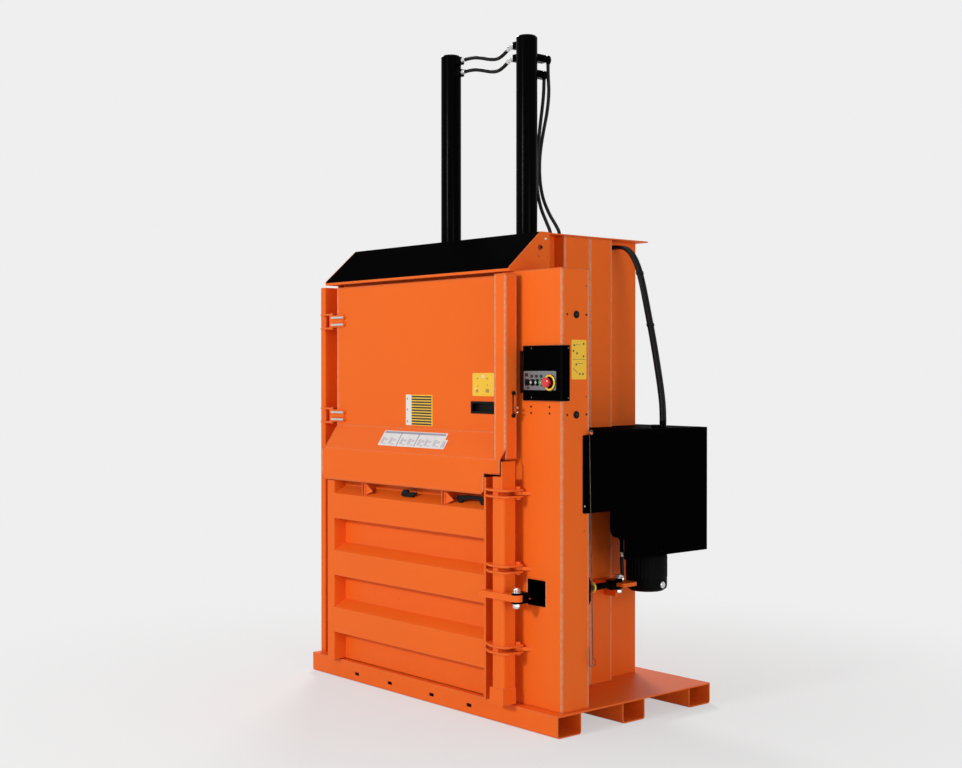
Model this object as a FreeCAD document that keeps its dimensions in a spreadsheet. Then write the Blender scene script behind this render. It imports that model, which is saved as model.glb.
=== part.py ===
import FreeCAD, Part
import math
import os
import re
import Sketcher
from FreeCAD import Placement, Rotation, Vector

# Vertical recycling baler: a press body on a forkable base, with a feed door over a bale door.
# Millimetres. +Z is up and +X is to the right of someone who faces the doors.
# Depths below are set back from the base's front face; the origin is under the base's centre.

SIZES = {
    # base
    "base_width": 1731, "base_depth": 945, "base_top": 90.5, "floor_sheet": 6,
    "runner_sheet": 5, "runner_bend": 12, "front_runner": 135,
    "middle_runner_at": 380, "middle_runner": 136, "rear_runner": 143,
    "base_slot_width": 34, "base_slot_height": 15, "base_slot_level": 40,
    # chamber and press body
    "chamber_left": -715, "chamber_width": 1200, "chamber_front": 49, "chamber_rear": 855,
    "wall_sheet": 7, "body_top": 2065, "floor_liner": 12, "strap_groove": 14, "groove_depth": 8,
    "bay_front": 200, "bay_middle": 343, "bay_back": 500, "bay_end": 640,
    "bay_width": 63, "bay_sheet": 4, "front_bay_top": 1900,
    "strap_centre": -90, "strap_inner": 152.5, "strap_outer": 408.5,
    # columns beside the doors
    "column_face": 45, "column_sheet": 4, "column_side": 846, "column_top": 1897,
    "ram_window_left": 642, "ram_window_width": 106, "ram_window_base": 511, "ram_window_height": 106.5,
    "left_post_outer": -863, "left_post_width": 38, "left_post_top": 1890, "jamb_setback": 126,
    # head of the machine
    "hood_front": 20, "hood_lip": 6, "hood_sheet": 3, "hood_reach": 35, "rail_height": 11, "wall_slope": 18,
    "gable_sheet": 4, "gable_rear": 254, "gable_hole": 25, "top_sheet": 5, "top_overhang": 4,
    "ledge_sheet": 6, "ledge_end": 556, "ledge_rear": 876,
    "beam_depth": 80, "beam_width": 60, "beam_offset": 100,
    # press cylinders and platen
    "press_spread": 272, "press_depth": 490, "press_barrel": 98, "press_bore": 80, "press_height": 956,
    "press_rod": 56, "press_cap": 18, "press_shoulder": 8,
    "press_flange": 150, "flange_sheet": 20, "flange_bolt": 12,
    "piston_length": 50, "sliding_gap": 0.3, "platen_under": 1850, "platen_plate": 20, "platen_rib": 80,
    "platen_side_gap": 14, "platen_front": 66, "platen_rear": 845, "platen_web": 12, "rod_foot": 110,
    "port_block": 34, "port_upper": 922, "port_lower": 864, "port_reach": 30,
    # feed door (upper)
    "feed_hinge_x": -745, "feed_hinge_y": 30, "feed_left": -700, "feed_panel": 30, "feed_base": 1220,
    "feed_top": 1882, "feed_sheet": 3.5, "strip_left": 534, "strip_right": 603, "strip_face": -45,
    "band_left": -725, "band_base": 959, "band_top": 1110, "band_round": 26, "notch_left": 466,
    "notch_top": 1047, "notch_right": 568, "strip_foot": 1153, "strip_back": 18, "fold_depth": 9.5,
    "handle_left": 304, "handle_width": 145, "handle_base": 1301, "handle_height": 41, "handle_depth": 24,
    "handle_sheet": 3, "hinge_bar": 12, "hinge_bar_left": -727, "hinge_bar_length": 100, "hinge_bar_gap": 34,
    "latch_low": 1293, "latch_high": 1388, "latch_knob": 14, "latch_pin": 9,
    "feed_hinge_high": 1720, "feed_hinge_low": 1262, "knuckle_height": 58, "knuckle_width": 24,
    "bracket_sheet": 8, "feed_pin": 12, "pin_gap": 0.05, "seat_gap": 0.3,
    # bale door (lower)
    "door_face": -40, "door_recess": 28, "door_sheet": 4, "door_base": 95, "door_top": 955,
    "door_left": -683, "edge_strip": 55, "flange_left": 469, "flange_sheet_width": 12, "flange_top": 1033,
    "rib_top": 893, "rib_height": 118, "rib_pitch": 273, "rib_rise": 35, "inner_plate": 6,
    "hinge_x": 612, "hinge_y": 16, "hinge_high": 972, "hinge_middle": 660, "hinge_low": 327,
    "collar_sheet": 8, "collar_gap": 18, "collar_face": -78, "collar_right": 636, "collar_round": 34,
    "collar_eye": 24, "tongue_eye": 20, "tongue_root": 664,
    "hinge_bolt": 16, "bolt_head": 26, "bolt_head_height": 10, "tongue_sheet": 14,
    "post_left": 540, "post_right": 612, "post_face": -66, "post_back": 2, "post_round": 14,
    "post_top": 1040, "fin_top": 1105, "fin_sheet": 6, "fin_face": -72,
    "shoe_height": 67, "shoe_margin": 5, "post_core": 580, "post_foot": 100,
    "guide_sheet": 5, "guide_slot": 12, "guide_left": -395, "guide_right": 190, "guide_inset": 2,
    "gusset_face": -30, "gusset_sheet": 4, "gusset_reach": 51, "gusset_tip": 920, "gusset_top": 952,
    "hook_face": -16, "hook_sheet": 10, "hook_top": 942, "hook_left": -137, "hook_right": 440,
    # hydraulic drive of the bale door
    "arm_level": 551.5, "arm_height": 27, "arm_width": 48, "arm_pin": 18, "arm_x": 685, "arm_y": -57,
    "fork_sheet": 8, "pin_head": 28, "pin_head_height": 14, "fork_radius": 21,
    "fork_reach": 26, "fork_block": 24,
    "ram_rod": 25, "ram_barrel": 42, "ram_bore": 32, "ram_start": 145, "ram_length": 200, "ram_gland": 18,
    "ram_end": 9, "ram_piston": 20, "ram_tail": 28, "tail_block": 26, "lug_pin": 20, "lug_y": 545,
    "lug_sheet": 16, "lug_slot": 64, "lug_slot_width": 30, "lug_margin": 13, "lug_rear": 606, "lug_play": 4,
    "lug_ear": 12, "lug_end": 744, "guard_margin": 22, "guard_depth": 15, "duct_sheet": 1.5,
    # control panel
    "panel_left": 612, "panel_base": 1356, "panel_height": 227, "panel_proud": 9, "panel_wrap": 84,
    "panel_bevel": 12, "button_level": 1431, "button_size": 24, "button_proud": 12, "button_stroke": 4,
    "button_first": 681, "button_step": 28.5, "selector_x": 652, "selector_size": 22,
    "stop_x": 785, "stop_collar": 67, "stop_collar_height": 6, "stop_head": 40, "stop_stem": 22,
    "stop_head_height": 18, "stop_proud": 34, "lock_size": 31, "lock_depth": 124, "lock_high": 1708,
    "lock_low": 1300, "lock_proud": 5,
    # power unit
    "unit_top": 1230, "unit_step": 894, "unit_base": 684, "unit_rear": 944, "unit_neck": 340,
    "unit_sheet": 3, "unit_tail_left": 340, "unit_lap": 39, "unit_lap_drop": 14,
    "motor_x": 700, "motor_y": 710,
    "motor_size": 176, "motor_height": 174, "breather_inset": 81, "breather_y": 694, "breather_size": 44,
    "breather_height": 14, "tank_height": 320, "tank_width": 260, "tank_depth": 240,
    "pump_size": 120, "pump_height": 100,
    # hoses and the strap-threading rod
    "power_hose": 17, "cross_hose": 17, "return_hose": 16, "ram_hose": 16, "tie_width": 12, "tie_sheet": 2,
    "tie_high": 1912, "tie_low": 1682, "cross_fitting": 24, "cross_ferrule": 29, "cross_drop": 9,
    "elbow_run": 37, "elbow_fitting": 18, "elbow_reach": 22, "elbow_drop": 30, "power_fitting": 18,
    "power_ferrule": 28, "power_depth": 700, "power_drop": 29, "power_inset": 45,
    "cap_ferrule": 32, "ram_fitting": 20,
    "threader_rod": 6, "peg_size": 10, "peg_level": 1232, "peg_depth": 190, "threader_foot": 268,
    "threader_bend": 26, "threader_leg": 100, "threader_out": 16,
}

doc = FreeCAD.newDocument("RecyclingBaler")
sheet = doc.addObject("Spreadsheet::Sheet", "Sizes")
for row, (alias, value) in enumerate(SIZES.items(), 1):
    sheet.set(f"A{row}", alias)
    sheet.set(f"B{row}", str(value))
    sheet.setAlias(f"B{row}", alias)
doc.recompute()

WORD = re.compile(r"[a-z_]+")
TURNS = {"X": Rotation(Vector(0, 1, 0), 90), "Y": Rotation(Vector(1, 0, 0), -90), "Z": Rotation()}
PLANES = {"X": "YZ_Plane", "Y": "XZ_Plane", "Z": "XY_Plane"}
nodes = []


def bound(sum_of_sizes):
    """Write a sum of sizes as an expression on the sheet."""
    return WORD.sub(lambda word: f"Sizes.{word[0]}" if word[0] in SIZES else word[0], str(sum_of_sizes))


def size(sum_of_sizes):
    """Work out a sum of sizes from the sheet's cells."""
    return float(sheet.evalExpression(bound(sum_of_sizes)))


def back(depth):
    """Turn a depth behind the base's front face into a Y coordinate."""
    return f"({depth}) - base_depth / 2"


def keep(piece, label):
    """Name a finished sub-part."""
    piece.Label = label
    nodes.append(piece)
    return piece


def move(piece, x, y, z):
    for axis, where in zip("xyz", (x, y, z)):
        piece.setExpression(f"Placement.Base.{axis}", bound(where))


def block(name, x, y, z):
    """A box between two planes on each axis."""
    box = doc.addObject("Part::Box", name)
    for side, (low, high) in zip(("Length", "Width", "Height"), (x, y, z)):
        box.setExpression(side, bound(f"({high}) - ({low})"))
    move(box, x[0], back(y[0]), z[0])
    return box


def round_bar(name, axis, centre, span, diameter):
    """A cylinder along an axis: centre holds its two other coordinates in order."""
    bar = doc.addObject("Part::Cylinder", name)
    bar.Placement = Placement(Vector(), TURNS[axis])
    bar.setExpression("Radius", bound(f"({diameter}) / 2"))
    bar.setExpression("Height", bound(f"({span[1]}) - ({span[0]})"))
    where = list(centre)
    where.insert("XYZ".index(axis), span[0])
    move(bar, where[0], back(where[1]), where[2])
    return bar


def hex_head(name, centre, span, across):
    """A hexagon head standing along Z."""
    head = doc.addObject("Part::Prism", name)
    head.Polygon = 6
    head.setExpression("Circumradius", bound(f"({across}) / 2"))
    head.setExpression("Height", bound(f"({span[1]}) - ({span[0]})"))
    move(head, centre[0], back(centre[1]), span[0])
    return head


def fuse(name, pieces):
    joined = doc.addObject("Part::MultiFuse", name)
    joined.Shapes = pieces
    joined.Refine = True
    return joined


def group(name, pieces):
    """Several separate solids under one name."""
    together = doc.addObject("Part::Compound", name)
    together.Links = pieces
    return together


def cut(name, base, tools):
    remainder = doc.addObject("Part::Cut", name)
    remainder.Base = base
    remainder.Tool = tools[0] if len(tools) == 1 else fuse(f"{name}_tools", tools)
    remainder.Refine = True
    return remainder


def outline(sketch, points):
    """Draw a closed polygon whose every corner is held by a sum of sizes."""
    corners = [Vector(size(across), size(up), 0) for across, up in points]
    last = len(corners) - 1
    for number, corner in enumerate(corners):
        sketch.addGeometry(Part.LineSegment(corner, corners[0 if number == last else number + 1]), False)
    for number in range(len(corners)):
        following = 0 if number == last else number + 1
        sketch.addConstraint(Sketcher.Constraint("Coincident", number, 2, following, 1))
    for number, (corner, names) in enumerate(zip(corners, points)):
        for kind, place, name in zip(("DistanceX", "DistanceY"), corner, names):
            held = sketch.addConstraint(Sketcher.Constraint(kind, number, 1, place))
            sketch.setExpression(f"Constraints[{held}]", bound(name))


def prism(name, axis, span, points, rounds=None):
    """A sketched profile padded along an axis, with chosen corners rounded."""
    if axis == "X":
        points = [(back(across), up) for across, up in points]
    if axis == "Z":
        points = [(across, back(up)) for across, up in points]
    body = doc.addObject("PartDesign::Body", name)
    sketch = body.newObject("Sketcher::SketchObject", f"{name}_profile")
    plane = next(item for item in body.Origin.OriginFeatures if item.Role == PLANES[axis])
    sketch.AttachmentSupport = [(plane, "")]
    sketch.MapMode = "FlatFace"
    start = f"-({back(span[1])})" if axis == "Y" else span[0]
    sketch.setExpression("AttachmentOffset.Base.z", bound(start))
    outline(sketch, points)
    pad = body.newObject("PartDesign::Pad", f"{name}_pad")
    pad.Profile = sketch
    pad.setExpression("Length", bound(f"({span[1]}) - ({span[0]})"))
    doc.recompute()
    tip = pad
    for radius, corners in (rounds or {}).items():
        chosen = [points[corner] for corner in corners]
        tip = round_corners(body, tip, axis, chosen, radius)
    body.Tip = tip
    return body


def round_corners(body, feature, axis, corners, radius):
    """Fillet the edges that run along an axis through the given profile corners."""
    flat = {"X": (1, 2), "Y": (0, 2), "Z": (0, 1)}[axis]
    targets = [(size(across), size(up)) for across, up in corners]
    names = []
    for number, edge in enumerate(feature.Shape.Edges, 1):
        ends = [[vertex.Point[index] for index in flat] for vertex in edge.Vertexes]
        if len(ends) == 2 and math.dist(ends[0], ends[1]) < 0.001:
            if any(math.dist(ends[0], target) < 0.01 for target in targets):
                names.append(f"Edge{number}")
    fillet = body.newObject("PartDesign::Fillet", f"{body.Name}_round")
    fillet.Base = (feature, names)
    fillet.setExpression("Radius", bound(radius))
    doc.recompute()
    return fillet


def turned(name, axis, centre, profile):
    """A turned piece: the profile lists (distance along the axis, diameter) pairs down its outside."""
    body = doc.addObject("PartDesign::Body", name)
    sketch = body.newObject("Sketcher::SketchObject", f"{name}_profile")
    plane = next(item for item in body.Origin.OriginFeatures if item.Role == "XZ_Plane")
    sketch.AttachmentSupport = [(plane, "")]
    sketch.MapMode = "FlatFace"
    outline(sketch, [(f"({diameter}) / 2", along) for along, diameter in profile])
    spun = body.newObject("PartDesign::Revolution", f"{name}_turn")
    spun.Profile = sketch
    spun.ReferenceAxis = (sketch, ["V_Axis"])
    spun.Angle = 360
    body.Placement = Placement(Vector(), TURNS[axis])
    where = list(centre)
    where.insert("XYZ".index(axis), "0")
    move(body, where[0], back(where[1]), where[2])
    return body


def fixed(name, shape):
    """A piece whose shape is worked out along its own path."""
    piece = doc.addObject("Part::Feature", name)
    piece.Shape = shape
    return piece


def route(points):
    """Straight runs joined by tangent arcs; returns the wire and its smallest radius."""
    spots = [Vector(x, y - size("base_depth") / 2, z) for x, y, z in points]
    edges = []
    radii = []
    start = spots[0]
    for before, corner, after in zip(spots, spots[1:], spots[2:]):
        inward = (before - corner).normalize()
        outward = (after - corner).normalize()
        run = min((before - corner).Length, (after - corner).Length)
        half_turn = (math.pi - inward.getAngle(outward)) / 2
        trim = 0.45 * run
        radius = trim / math.tan(half_turn)
        first = corner + inward * trim
        second = corner + outward * trim
        middle = corner + (inward + outward).normalize() * (radius / math.cos(half_turn) - radius)
        edges.append(Part.LineSegment(start, first).toShape())
        edges.append(Part.Arc(first, middle, second).toShape())
        radii.append(radius)
        start = second
    edges.append(Part.LineSegment(start, spots[-1]).toShape())
    return Part.Wire(edges), min(radii)


def tube(name, points, diameter):
    """A round hose or bent rod along a route."""
    path, tightest = route(points)
    ring = Part.Wire(Part.makeCircle(diameter / 2, path.Edges[0].Vertexes[0].Point,
                                     path.Edges[0].tangentAt(0)))
    solid = path.makePipeShell([ring], True, True)
    expected = math.pi * diameter ** 2 / 4 * path.Length
    ratio = solid.Volume / expected
    print(f"{name}: length {path.Length:.0f}, tightest radius {tightest:.0f}, volume ratio {ratio:.4f}")
    return fixed(name, solid)


# ---------------------------------------------------------------- base
HALF_BASE = ("-base_width / 2", "base_width / 2")
DECK = "base_top - floor_sheet"


def runner(name, front, depth):
    """A folded channel along X, open at its ends, with its open side under the floor plate."""
    rear = f"{front} + {depth}"
    points = [
        (front, DECK), (front, "0"), (rear, "0"), (rear, DECK),
        (f"{rear} - runner_sheet", DECK), (f"{rear} - runner_sheet", "runner_sheet"),
        (f"{front} + runner_sheet", "runner_sheet"), (f"{front} + runner_sheet", DECK),
    ]
    rounds = {"runner_bend": (1, 2), "runner_bend - runner_sheet": (5, 6)}
    return prism(name, "X", HALF_BASE, points, rounds)


def base():
    keep(block("FloorPlate", HALF_BASE, ("0", "base_depth"), (DECK, "base_top")), "floor_plate")
    slots = []
    for side in ("-strap_outer", "-strap_inner", "strap_inner", "strap_outer"):
        middle = f"strap_centre + {side}"
        across = (f"{middle} - base_slot_width / 2", f"{middle} + base_slot_width / 2")
        up = ("base_slot_level - base_slot_height / 2", "base_slot_level + base_slot_height / 2")
        corners = [(across[0], up[0]), (across[1], up[0]), (across[1], up[1]), (across[0], up[1])]
        rounds = {"base_slot_height / 2 - 1": (1, 2)}
        slots.append(prism("BaseSlot", "Y", ("-1", "runner_sheet + 1"), corners, rounds))
    keep(cut("FrontRunner", runner("FrontChannel", "0", "front_runner"), slots), "front_runner")
    middle_channel = runner("MiddleChannel", "middle_runner_at", "middle_runner")
    rear_channel = runner("RearChannel", "base_depth - rear_runner", "rear_runner")
    keep(group("RearRunners", [middle_channel, rear_channel]), "rear_runners")


# ---------------------------------------------------------------- press body
CHAMBER_RIGHT = "chamber_left + chamber_width"
BODY_LEFT = "chamber_left - wall_sheet - bay_width"
BODY_RIGHT = "chamber_left + chamber_width + wall_sheet + bay_width"
BODY_HEIGHT = ("base_top", "body_top")


def chamber():
    right = CHAMBER_RIGHT
    rear = "chamber_rear + wall_sheet"
    side = [
        ("chamber_front", "base_top"), ("chamber_front", "column_top + rail_height + wall_slope"),
        ("bay_front", "body_top"), (rear, "body_top"), (rear, "base_top"),
    ]
    walls = [
        prism("LeftWall", "X", ("chamber_left - wall_sheet", "chamber_left"), side),
        prism("RightWall", "X", (right, f"{right} + wall_sheet"), side),
        block("RearWall", ("chamber_left", right), ("chamber_rear", rear), BODY_HEIGHT),
    ]
    keep(group("ChamberWalls", walls), "chamber_walls")
    liner_top = "base_top + floor_liner"
    liner = block("Liner", ("chamber_left", right), ("chamber_front", "chamber_rear"),
                  ("base_top", liner_top))
    grooves = []
    for side in ("-strap_outer", "-strap_inner", "strap_inner", "strap_outer"):
        middle = f"strap_centre + {side}"
        across = (f"{middle} - strap_groove / 2", f"{middle} + strap_groove / 2")
        up = (f"{liner_top} - groove_depth", f"{liner_top} + 1")
        grooves.append(block("Groove", across, ("0", "chamber_rear + 1"), up))
    keep(cut("ChamberFloor", liner, grooves), "chamber_floor")


def bay(name, wall, outer, depth, top):
    """A folded channel stood against a chamber wall: two returns and an outer skin."""
    inward = "+" if name.startswith("Left") else "-"
    skin = f"{outer} {inward} bay_sheet"
    front, rear = depth
    points = [
        (wall, front), (outer, front), (outer, rear), (wall, rear),
        (wall, f"{rear} - bay_sheet"), (skin, f"{rear} - bay_sheet"),
        (skin, f"{front} + bay_sheet"), (wall, f"{front} + bay_sheet"),
    ]
    return prism(name, "Z", ("base_top", top), points, {"bay_sheet - 1": (1, 2)})


def side_bays():
    """Three folded channels stiffen each chamber wall; the front one is lower and has a lid."""
    for side, wall, outer, label in (
        ("Left", "chamber_left - wall_sheet", BODY_LEFT, "left_side_bays"),
        ("Right", f"{CHAMBER_RIGHT} + wall_sheet", BODY_RIGHT, "right_side_bays"),
    ):
        front_bay = bay(f"{side}FrontBay", wall, outer, ("bay_front", "bay_middle"),
                        "front_bay_top - bay_sheet")
        across = (outer, wall) if side == "Left" else (wall, outer)
        lid = block(f"{side}BayLid", across, ("bay_front", "bay_middle"),
                    ("front_bay_top - bay_sheet", "front_bay_top"))
        tall = [
            bay(f"{side}MiddleBay", wall, outer, ("bay_middle", "bay_back"), "body_top"),
            bay(f"{side}RearBay", wall, outer, ("bay_back", "bay_end"), "body_top"),
        ]
        keep(group(f"{side}SideBays", [fuse(f"{side}FrontBox", [front_bay, lid])] + tall), label)


# ---------------------------------------------------------------- columns
LOCK_STEM = "lock_size * 0.6"
RAM_WINDOW_X = ("ram_window_left", "ram_window_left + ram_window_width")
RAM_WINDOW_Z = ("ram_window_base", "ram_window_base + ram_window_height")
HINGE_LEVELS = ("hinge_low", "hinge_middle", "hinge_high")


def right_column():
    """A front panel and a side cover with a rear return; the ram passes through both."""
    left = CHAMBER_RIGHT
    face = ("column_face", "column_face + column_sheet")
    panel = block("ColumnPanel", (left, "column_side - column_sheet"), face, ("base_top", "column_top"))
    window = block("FrontWindow", RAM_WINDOW_X, ("column_face - 1", "column_face + column_sheet + 1"),
                   RAM_WINDOW_Z)
    keep(cut("ColumnFront", panel, [window]), "right_column_front")

    outer, inner = "column_side", "column_side - column_sheet"
    seat = "bay_front"
    points = [
        (outer, "column_face"), (outer, seat), (BODY_RIGHT, seat), (BODY_RIGHT, f"{seat} - column_sheet"),
        (inner, f"{seat} - column_sheet"), (inner, "column_face"),
    ]
    cover = prism("ColumnCover", "Z", ("base_top", "column_top - column_sheet"), points,
                  {"column_sheet - 1": (1,)})
    rear_window = block("RearWindow", RAM_WINDOW_X, (f"{seat} - column_sheet - 1", f"{seat} + 1"),
                        RAM_WINDOW_Z)
    cap_depth = ("column_face + column_sheet", seat)
    cap_left = f"{left} + wall_sheet"
    cap = block("ColumnCap", (cap_left, outer), cap_depth, ("column_top - column_sheet", "column_top"))
    peg = round_bar("ThreaderPeg", "X", ("peg_depth", "peg_level - peg_size / 2 - threader_rod / 2"),
                    ("column_side - 1", "column_side + 26"), "peg_size")
    locks = []
    for level in ("lock_low", "lock_high"):
        through = (f"{inner} - 1", f"{outer} + 1")
        locks.append(round_bar("LockHole", "X", ("lock_depth", level), through, LOCK_STEM))
    solid = fuse("ColumnSideSolid", [cover, cap, peg])
    keep(cut("ColumnSide", solid, [rear_window] + locks), "right_column_side")

    eyes = []
    for level in HINGE_LEVELS:
        up = (f"{level} - tongue_sheet / 2", f"{level} + tongue_sheet / 2")
        root = [
            ("hinge_x - tongue_eye", "column_face"), ("hinge_x - tongue_eye", "hinge_y"),
            ("hinge_x + tongue_eye", "hinge_y"), ("tongue_root", "column_face"),
        ]
        arm = prism("TongueArm", "Z", up, root)
        eye = round_bar("TongueEye", "Z", ("hinge_x", "hinge_y"), up, "2 * tongue_eye")
        through = (f"{up[0]} - 1", f"{up[1]} + 1")
        bore = round_bar("TongueBore", "Z", ("hinge_x", "hinge_y"), through, "hinge_bolt + 2 * pin_gap")
        eyes.append(cut("Tongue", fuse("TongueBody", [arm, eye]), [bore]))
    keep(group("HingeTongues", eyes), "hinge_tongues")


def left_column():
    """A flat hollow post beside the doors, tied to the press body by a set-back jamb plate."""
    outer, face = "left_post_outer", "column_face"
    inner = "left_post_outer + left_post_width"
    upright = ("base_top", "left_post_top")
    tube_walls = [
        (outer, face), (inner, face), (inner, "bay_front"), (outer, "bay_front"),
    ]
    shell = prism("PostOuter", "Z", upright, tube_walls, {"column_sheet + 1": (0, 1)})
    hollow = block("PostHollow", (f"{outer} + column_sheet", f"{inner} - column_sheet"),
                   (f"{face} + column_sheet", "bay_front - column_sheet"),
                   ("base_top - 1", "left_post_top - column_sheet"))
    post = cut("Post", shell, [hollow])
    jamb = block("Jamb", (inner, "chamber_left - wall_sheet"),
                 ("jamb_setback", "jamb_setback + column_sheet"), upright)
    web = block("PostWeb", (inner, "chamber_left - wall_sheet"), ("bay_front - column_sheet", "bay_front"),
                upright)
    keep(fuse("LeftColumn", [post, jamb, web]), "left_column")


# ---------------------------------------------------------------- head
PRESS_CENTRE = "chamber_left + chamber_width / 2"
DECK_TOP = "body_top + top_sheet"


def head():
    """Header rail, sloped hood, gables, top plate, rear ledge and the two crosshead beams."""
    lip = "column_top + rail_height"
    eave = f"{lip} + hood_lip"
    between_gables = (f"{BODY_LEFT} + gable_sheet", f"{BODY_RIGHT} - gable_sheet")
    rail = block("HeaderRail", between_gables, ("hood_front", "chamber_front"), ("column_top", lip))

    ridge = f"{DECK_TOP} + hood_sheet"
    hood = [
        ("hood_front", lip), ("hood_front", eave), ("bay_front", ridge), ("bay_front + hood_reach", ridge),
        ("bay_front + hood_reach", DECK_TOP), ("bay_front", DECK_TOP),
        ("hood_front + hood_sheet", f"{eave} - hood_sheet / 2"), ("hood_front + hood_sheet", lip),
    ]
    keep(prism("Hood", "X", between_gables, hood), "hood")

    gable = [
        ("hood_front", "column_top"), ("hood_front", eave), ("bay_front", ridge), ("gable_rear", ridge),
        ("gable_rear", "front_bay_top"), ("bay_front", "front_bay_top"), ("bay_front", "column_top"),
    ]
    plates = []
    sides = (("Left", BODY_LEFT, between_gables[0]), ("Right", between_gables[1], BODY_RIGHT))
    for side, outer, inner in sides:
        plate = prism(f"{side}GablePlate", "X", (outer, inner), gable)
        span = (f"{outer} - 1", f"{inner} + 1")
        holes = [
            round_bar("GableHole", "X", ("bay_front - 3", f"{ridge} - 68"), span, "gable_hole"),
            round_bar("GableDot", "X", ("bay_front - 12", f"{ridge} - 106"), span, "gable_hole / 4"),
            round_bar("GableDot", "X", ("gable_rear - 12", f"{ridge} - 106"), span, "gable_hole / 4"),
        ]
        plates.append(cut(f"{side}Gable", plate, holes))
    keep(group("HoodFrame", [rail] + plates), "hood_frame")

    wide = (f"{BODY_LEFT} - top_overhang", f"{BODY_RIGHT} + top_overhang")
    outline_top = [
        (between_gables[0], "bay_front"), (between_gables[1], "bay_front"), (between_gables[1], "gable_rear"),
        (wide[1], "gable_rear"), (wide[1], "bay_end"), (wide[0], "bay_end"), (wide[0], "gable_rear"),
        (between_gables[0], "gable_rear"),
    ]
    top = prism("TopSheet", "Z", ("body_top", DECK_TOP), outline_top)
    holes = []
    for side in ("-", "+"):
        centre = (f"{PRESS_CENTRE} {side} press_spread", "press_depth")
        holes.append(round_bar("RodHole", "Z", centre, ("body_top - 1", f"{DECK_TOP} + 1"), "press_rod + 8"))
    ledge = block("RearLedge", (f"{BODY_LEFT} + bay_width", "ledge_end"), ("bay_end", "ledge_rear"),
                  ("body_top", "body_top + ledge_sheet"))
    keep(group("TopPlates", [cut("TopPlate", top, holes), ledge]), "top_plates")

    beams = []
    for side in ("-", "+"):
        middle = f"press_depth {side} beam_offset"
        across = ("chamber_left", CHAMBER_RIGHT)
        depth = (f"{middle} - beam_width / 2", f"{middle} + beam_width / 2")
        hollow = (f"{depth[0]} + wall_sheet", f"{depth[1]} - wall_sheet")
        beam = block("Beam", across, depth, ("body_top - beam_depth", "body_top"))
        inside = block("BeamHollow", ("chamber_left - 1", f"{CHAMBER_RIGHT} + 1"), hollow,
                       ("body_top - beam_depth + wall_sheet", "body_top - wall_sheet"))
        beams.append(cut("CrossheadBeam", beam, [inside]))
    keep(group("CrossheadBeams", beams), "crosshead_beams")


# ---------------------------------------------------------------- press
PRESS_TOP = "body_top + press_height"
PLATEN_TOP = "platen_under + platen_plate + platen_rib"


def press_cylinder(side, sign):
    """A closed barrel on a bolted flange, with two port blocks on the side that faces its twin."""
    x = f"{PRESS_CENTRE} {sign} press_spread"
    foot = DECK_TOP
    gland = f"{foot} + press_cap"
    rod_bore = "press_rod + 2 * sliding_gap"
    profile = [
        (PRESS_TOP, "0"), (PRESS_TOP, "press_barrel - 2 * press_shoulder"),
        (f"{PRESS_TOP} - press_shoulder", "press_barrel"),
        (foot, "press_barrel"), (foot, rod_bore), (gland, rod_bore),
        (gland, "press_bore"), (f"{PRESS_TOP} - press_cap", "press_bore"), (f"{PRESS_TOP} - press_cap", "0"),
    ]
    barrel = turned(f"{side}Barrel", "Z", (x, "press_depth"), profile)
    half = "press_flange / 2"
    flange = block("Flange", (f"{x} - {half}", f"{x} + {half}"),
                   (f"press_depth - {half}", f"press_depth + {half}"),
                   (foot, f"{foot} + flange_sheet"))
    through = (f"{foot} - 1", f"{foot} + flange_sheet + 1")
    middle = round_bar("FlangeBore", "Z", (x, "press_depth"), through, "press_barrel - 2")
    pieces = [barrel, cut("FlangeRing", flange, [middle])]
    bolt_at = f"{half} - 1.2 * flange_bolt"
    for across in ("-", "+"):
        for along in ("-", "+"):
            centre = (f"{x} {across} ({bolt_at})", f"press_depth {along} ({bolt_at})")
            up = (f"{foot} + flange_sheet", f"{foot} + flange_sheet + flange_bolt / 2")
            pieces.append(hex_head("FlangeBolt", centre, up, "1.8 * flange_bolt"))
    inward = "-" if sign == "+" else "+"
    near = f"{x} {inward} (press_barrel / 2 - 4)"
    far = f"{x} {inward} (press_barrel / 2 + port_reach)"
    across = (far, near) if sign == "+" else (near, far)
    for level in ("port_lower", "port_upper"):
        up = (f"body_top + {level} - port_block / 2", f"body_top + {level} + port_block / 2")
        port = block("PortBlock", across, ("press_depth - port_block / 2", "press_depth + port_block / 2"),
                     up)
        bore = round_bar("PortBore", "Z", (x, "press_depth"), (f"{up[0]} - 1", f"{up[1]} + 1"),
                         "press_barrel - 2")
        pieces.append(cut("Port", port, [bore]))
    if sign == "+":
        for level in RETURN_PORTS:
            up = (f"body_top + {level} - port_block / 2", f"body_top + {level} + port_block / 2")
            depth = ("press_depth + press_barrel / 2 - 4", "press_depth + press_barrel / 2 + 2 * port_reach")
            port = block("RearPortBlock", (f"{x} - port_block / 2", f"{x} + port_block / 2"), depth, up)
            bore = round_bar("PortBore", "Z", (x, "press_depth"), (f"{up[0]} - 1", f"{up[1]} + 1"),
                             "press_barrel - 2")
            pieces.append(cut("RearPort", port, [bore]))
    return fuse(f"{side}PressCylinder", pieces)


RETURN_PORTS = ("port_lower", "port_lower - 2.2 * port_block")


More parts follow.
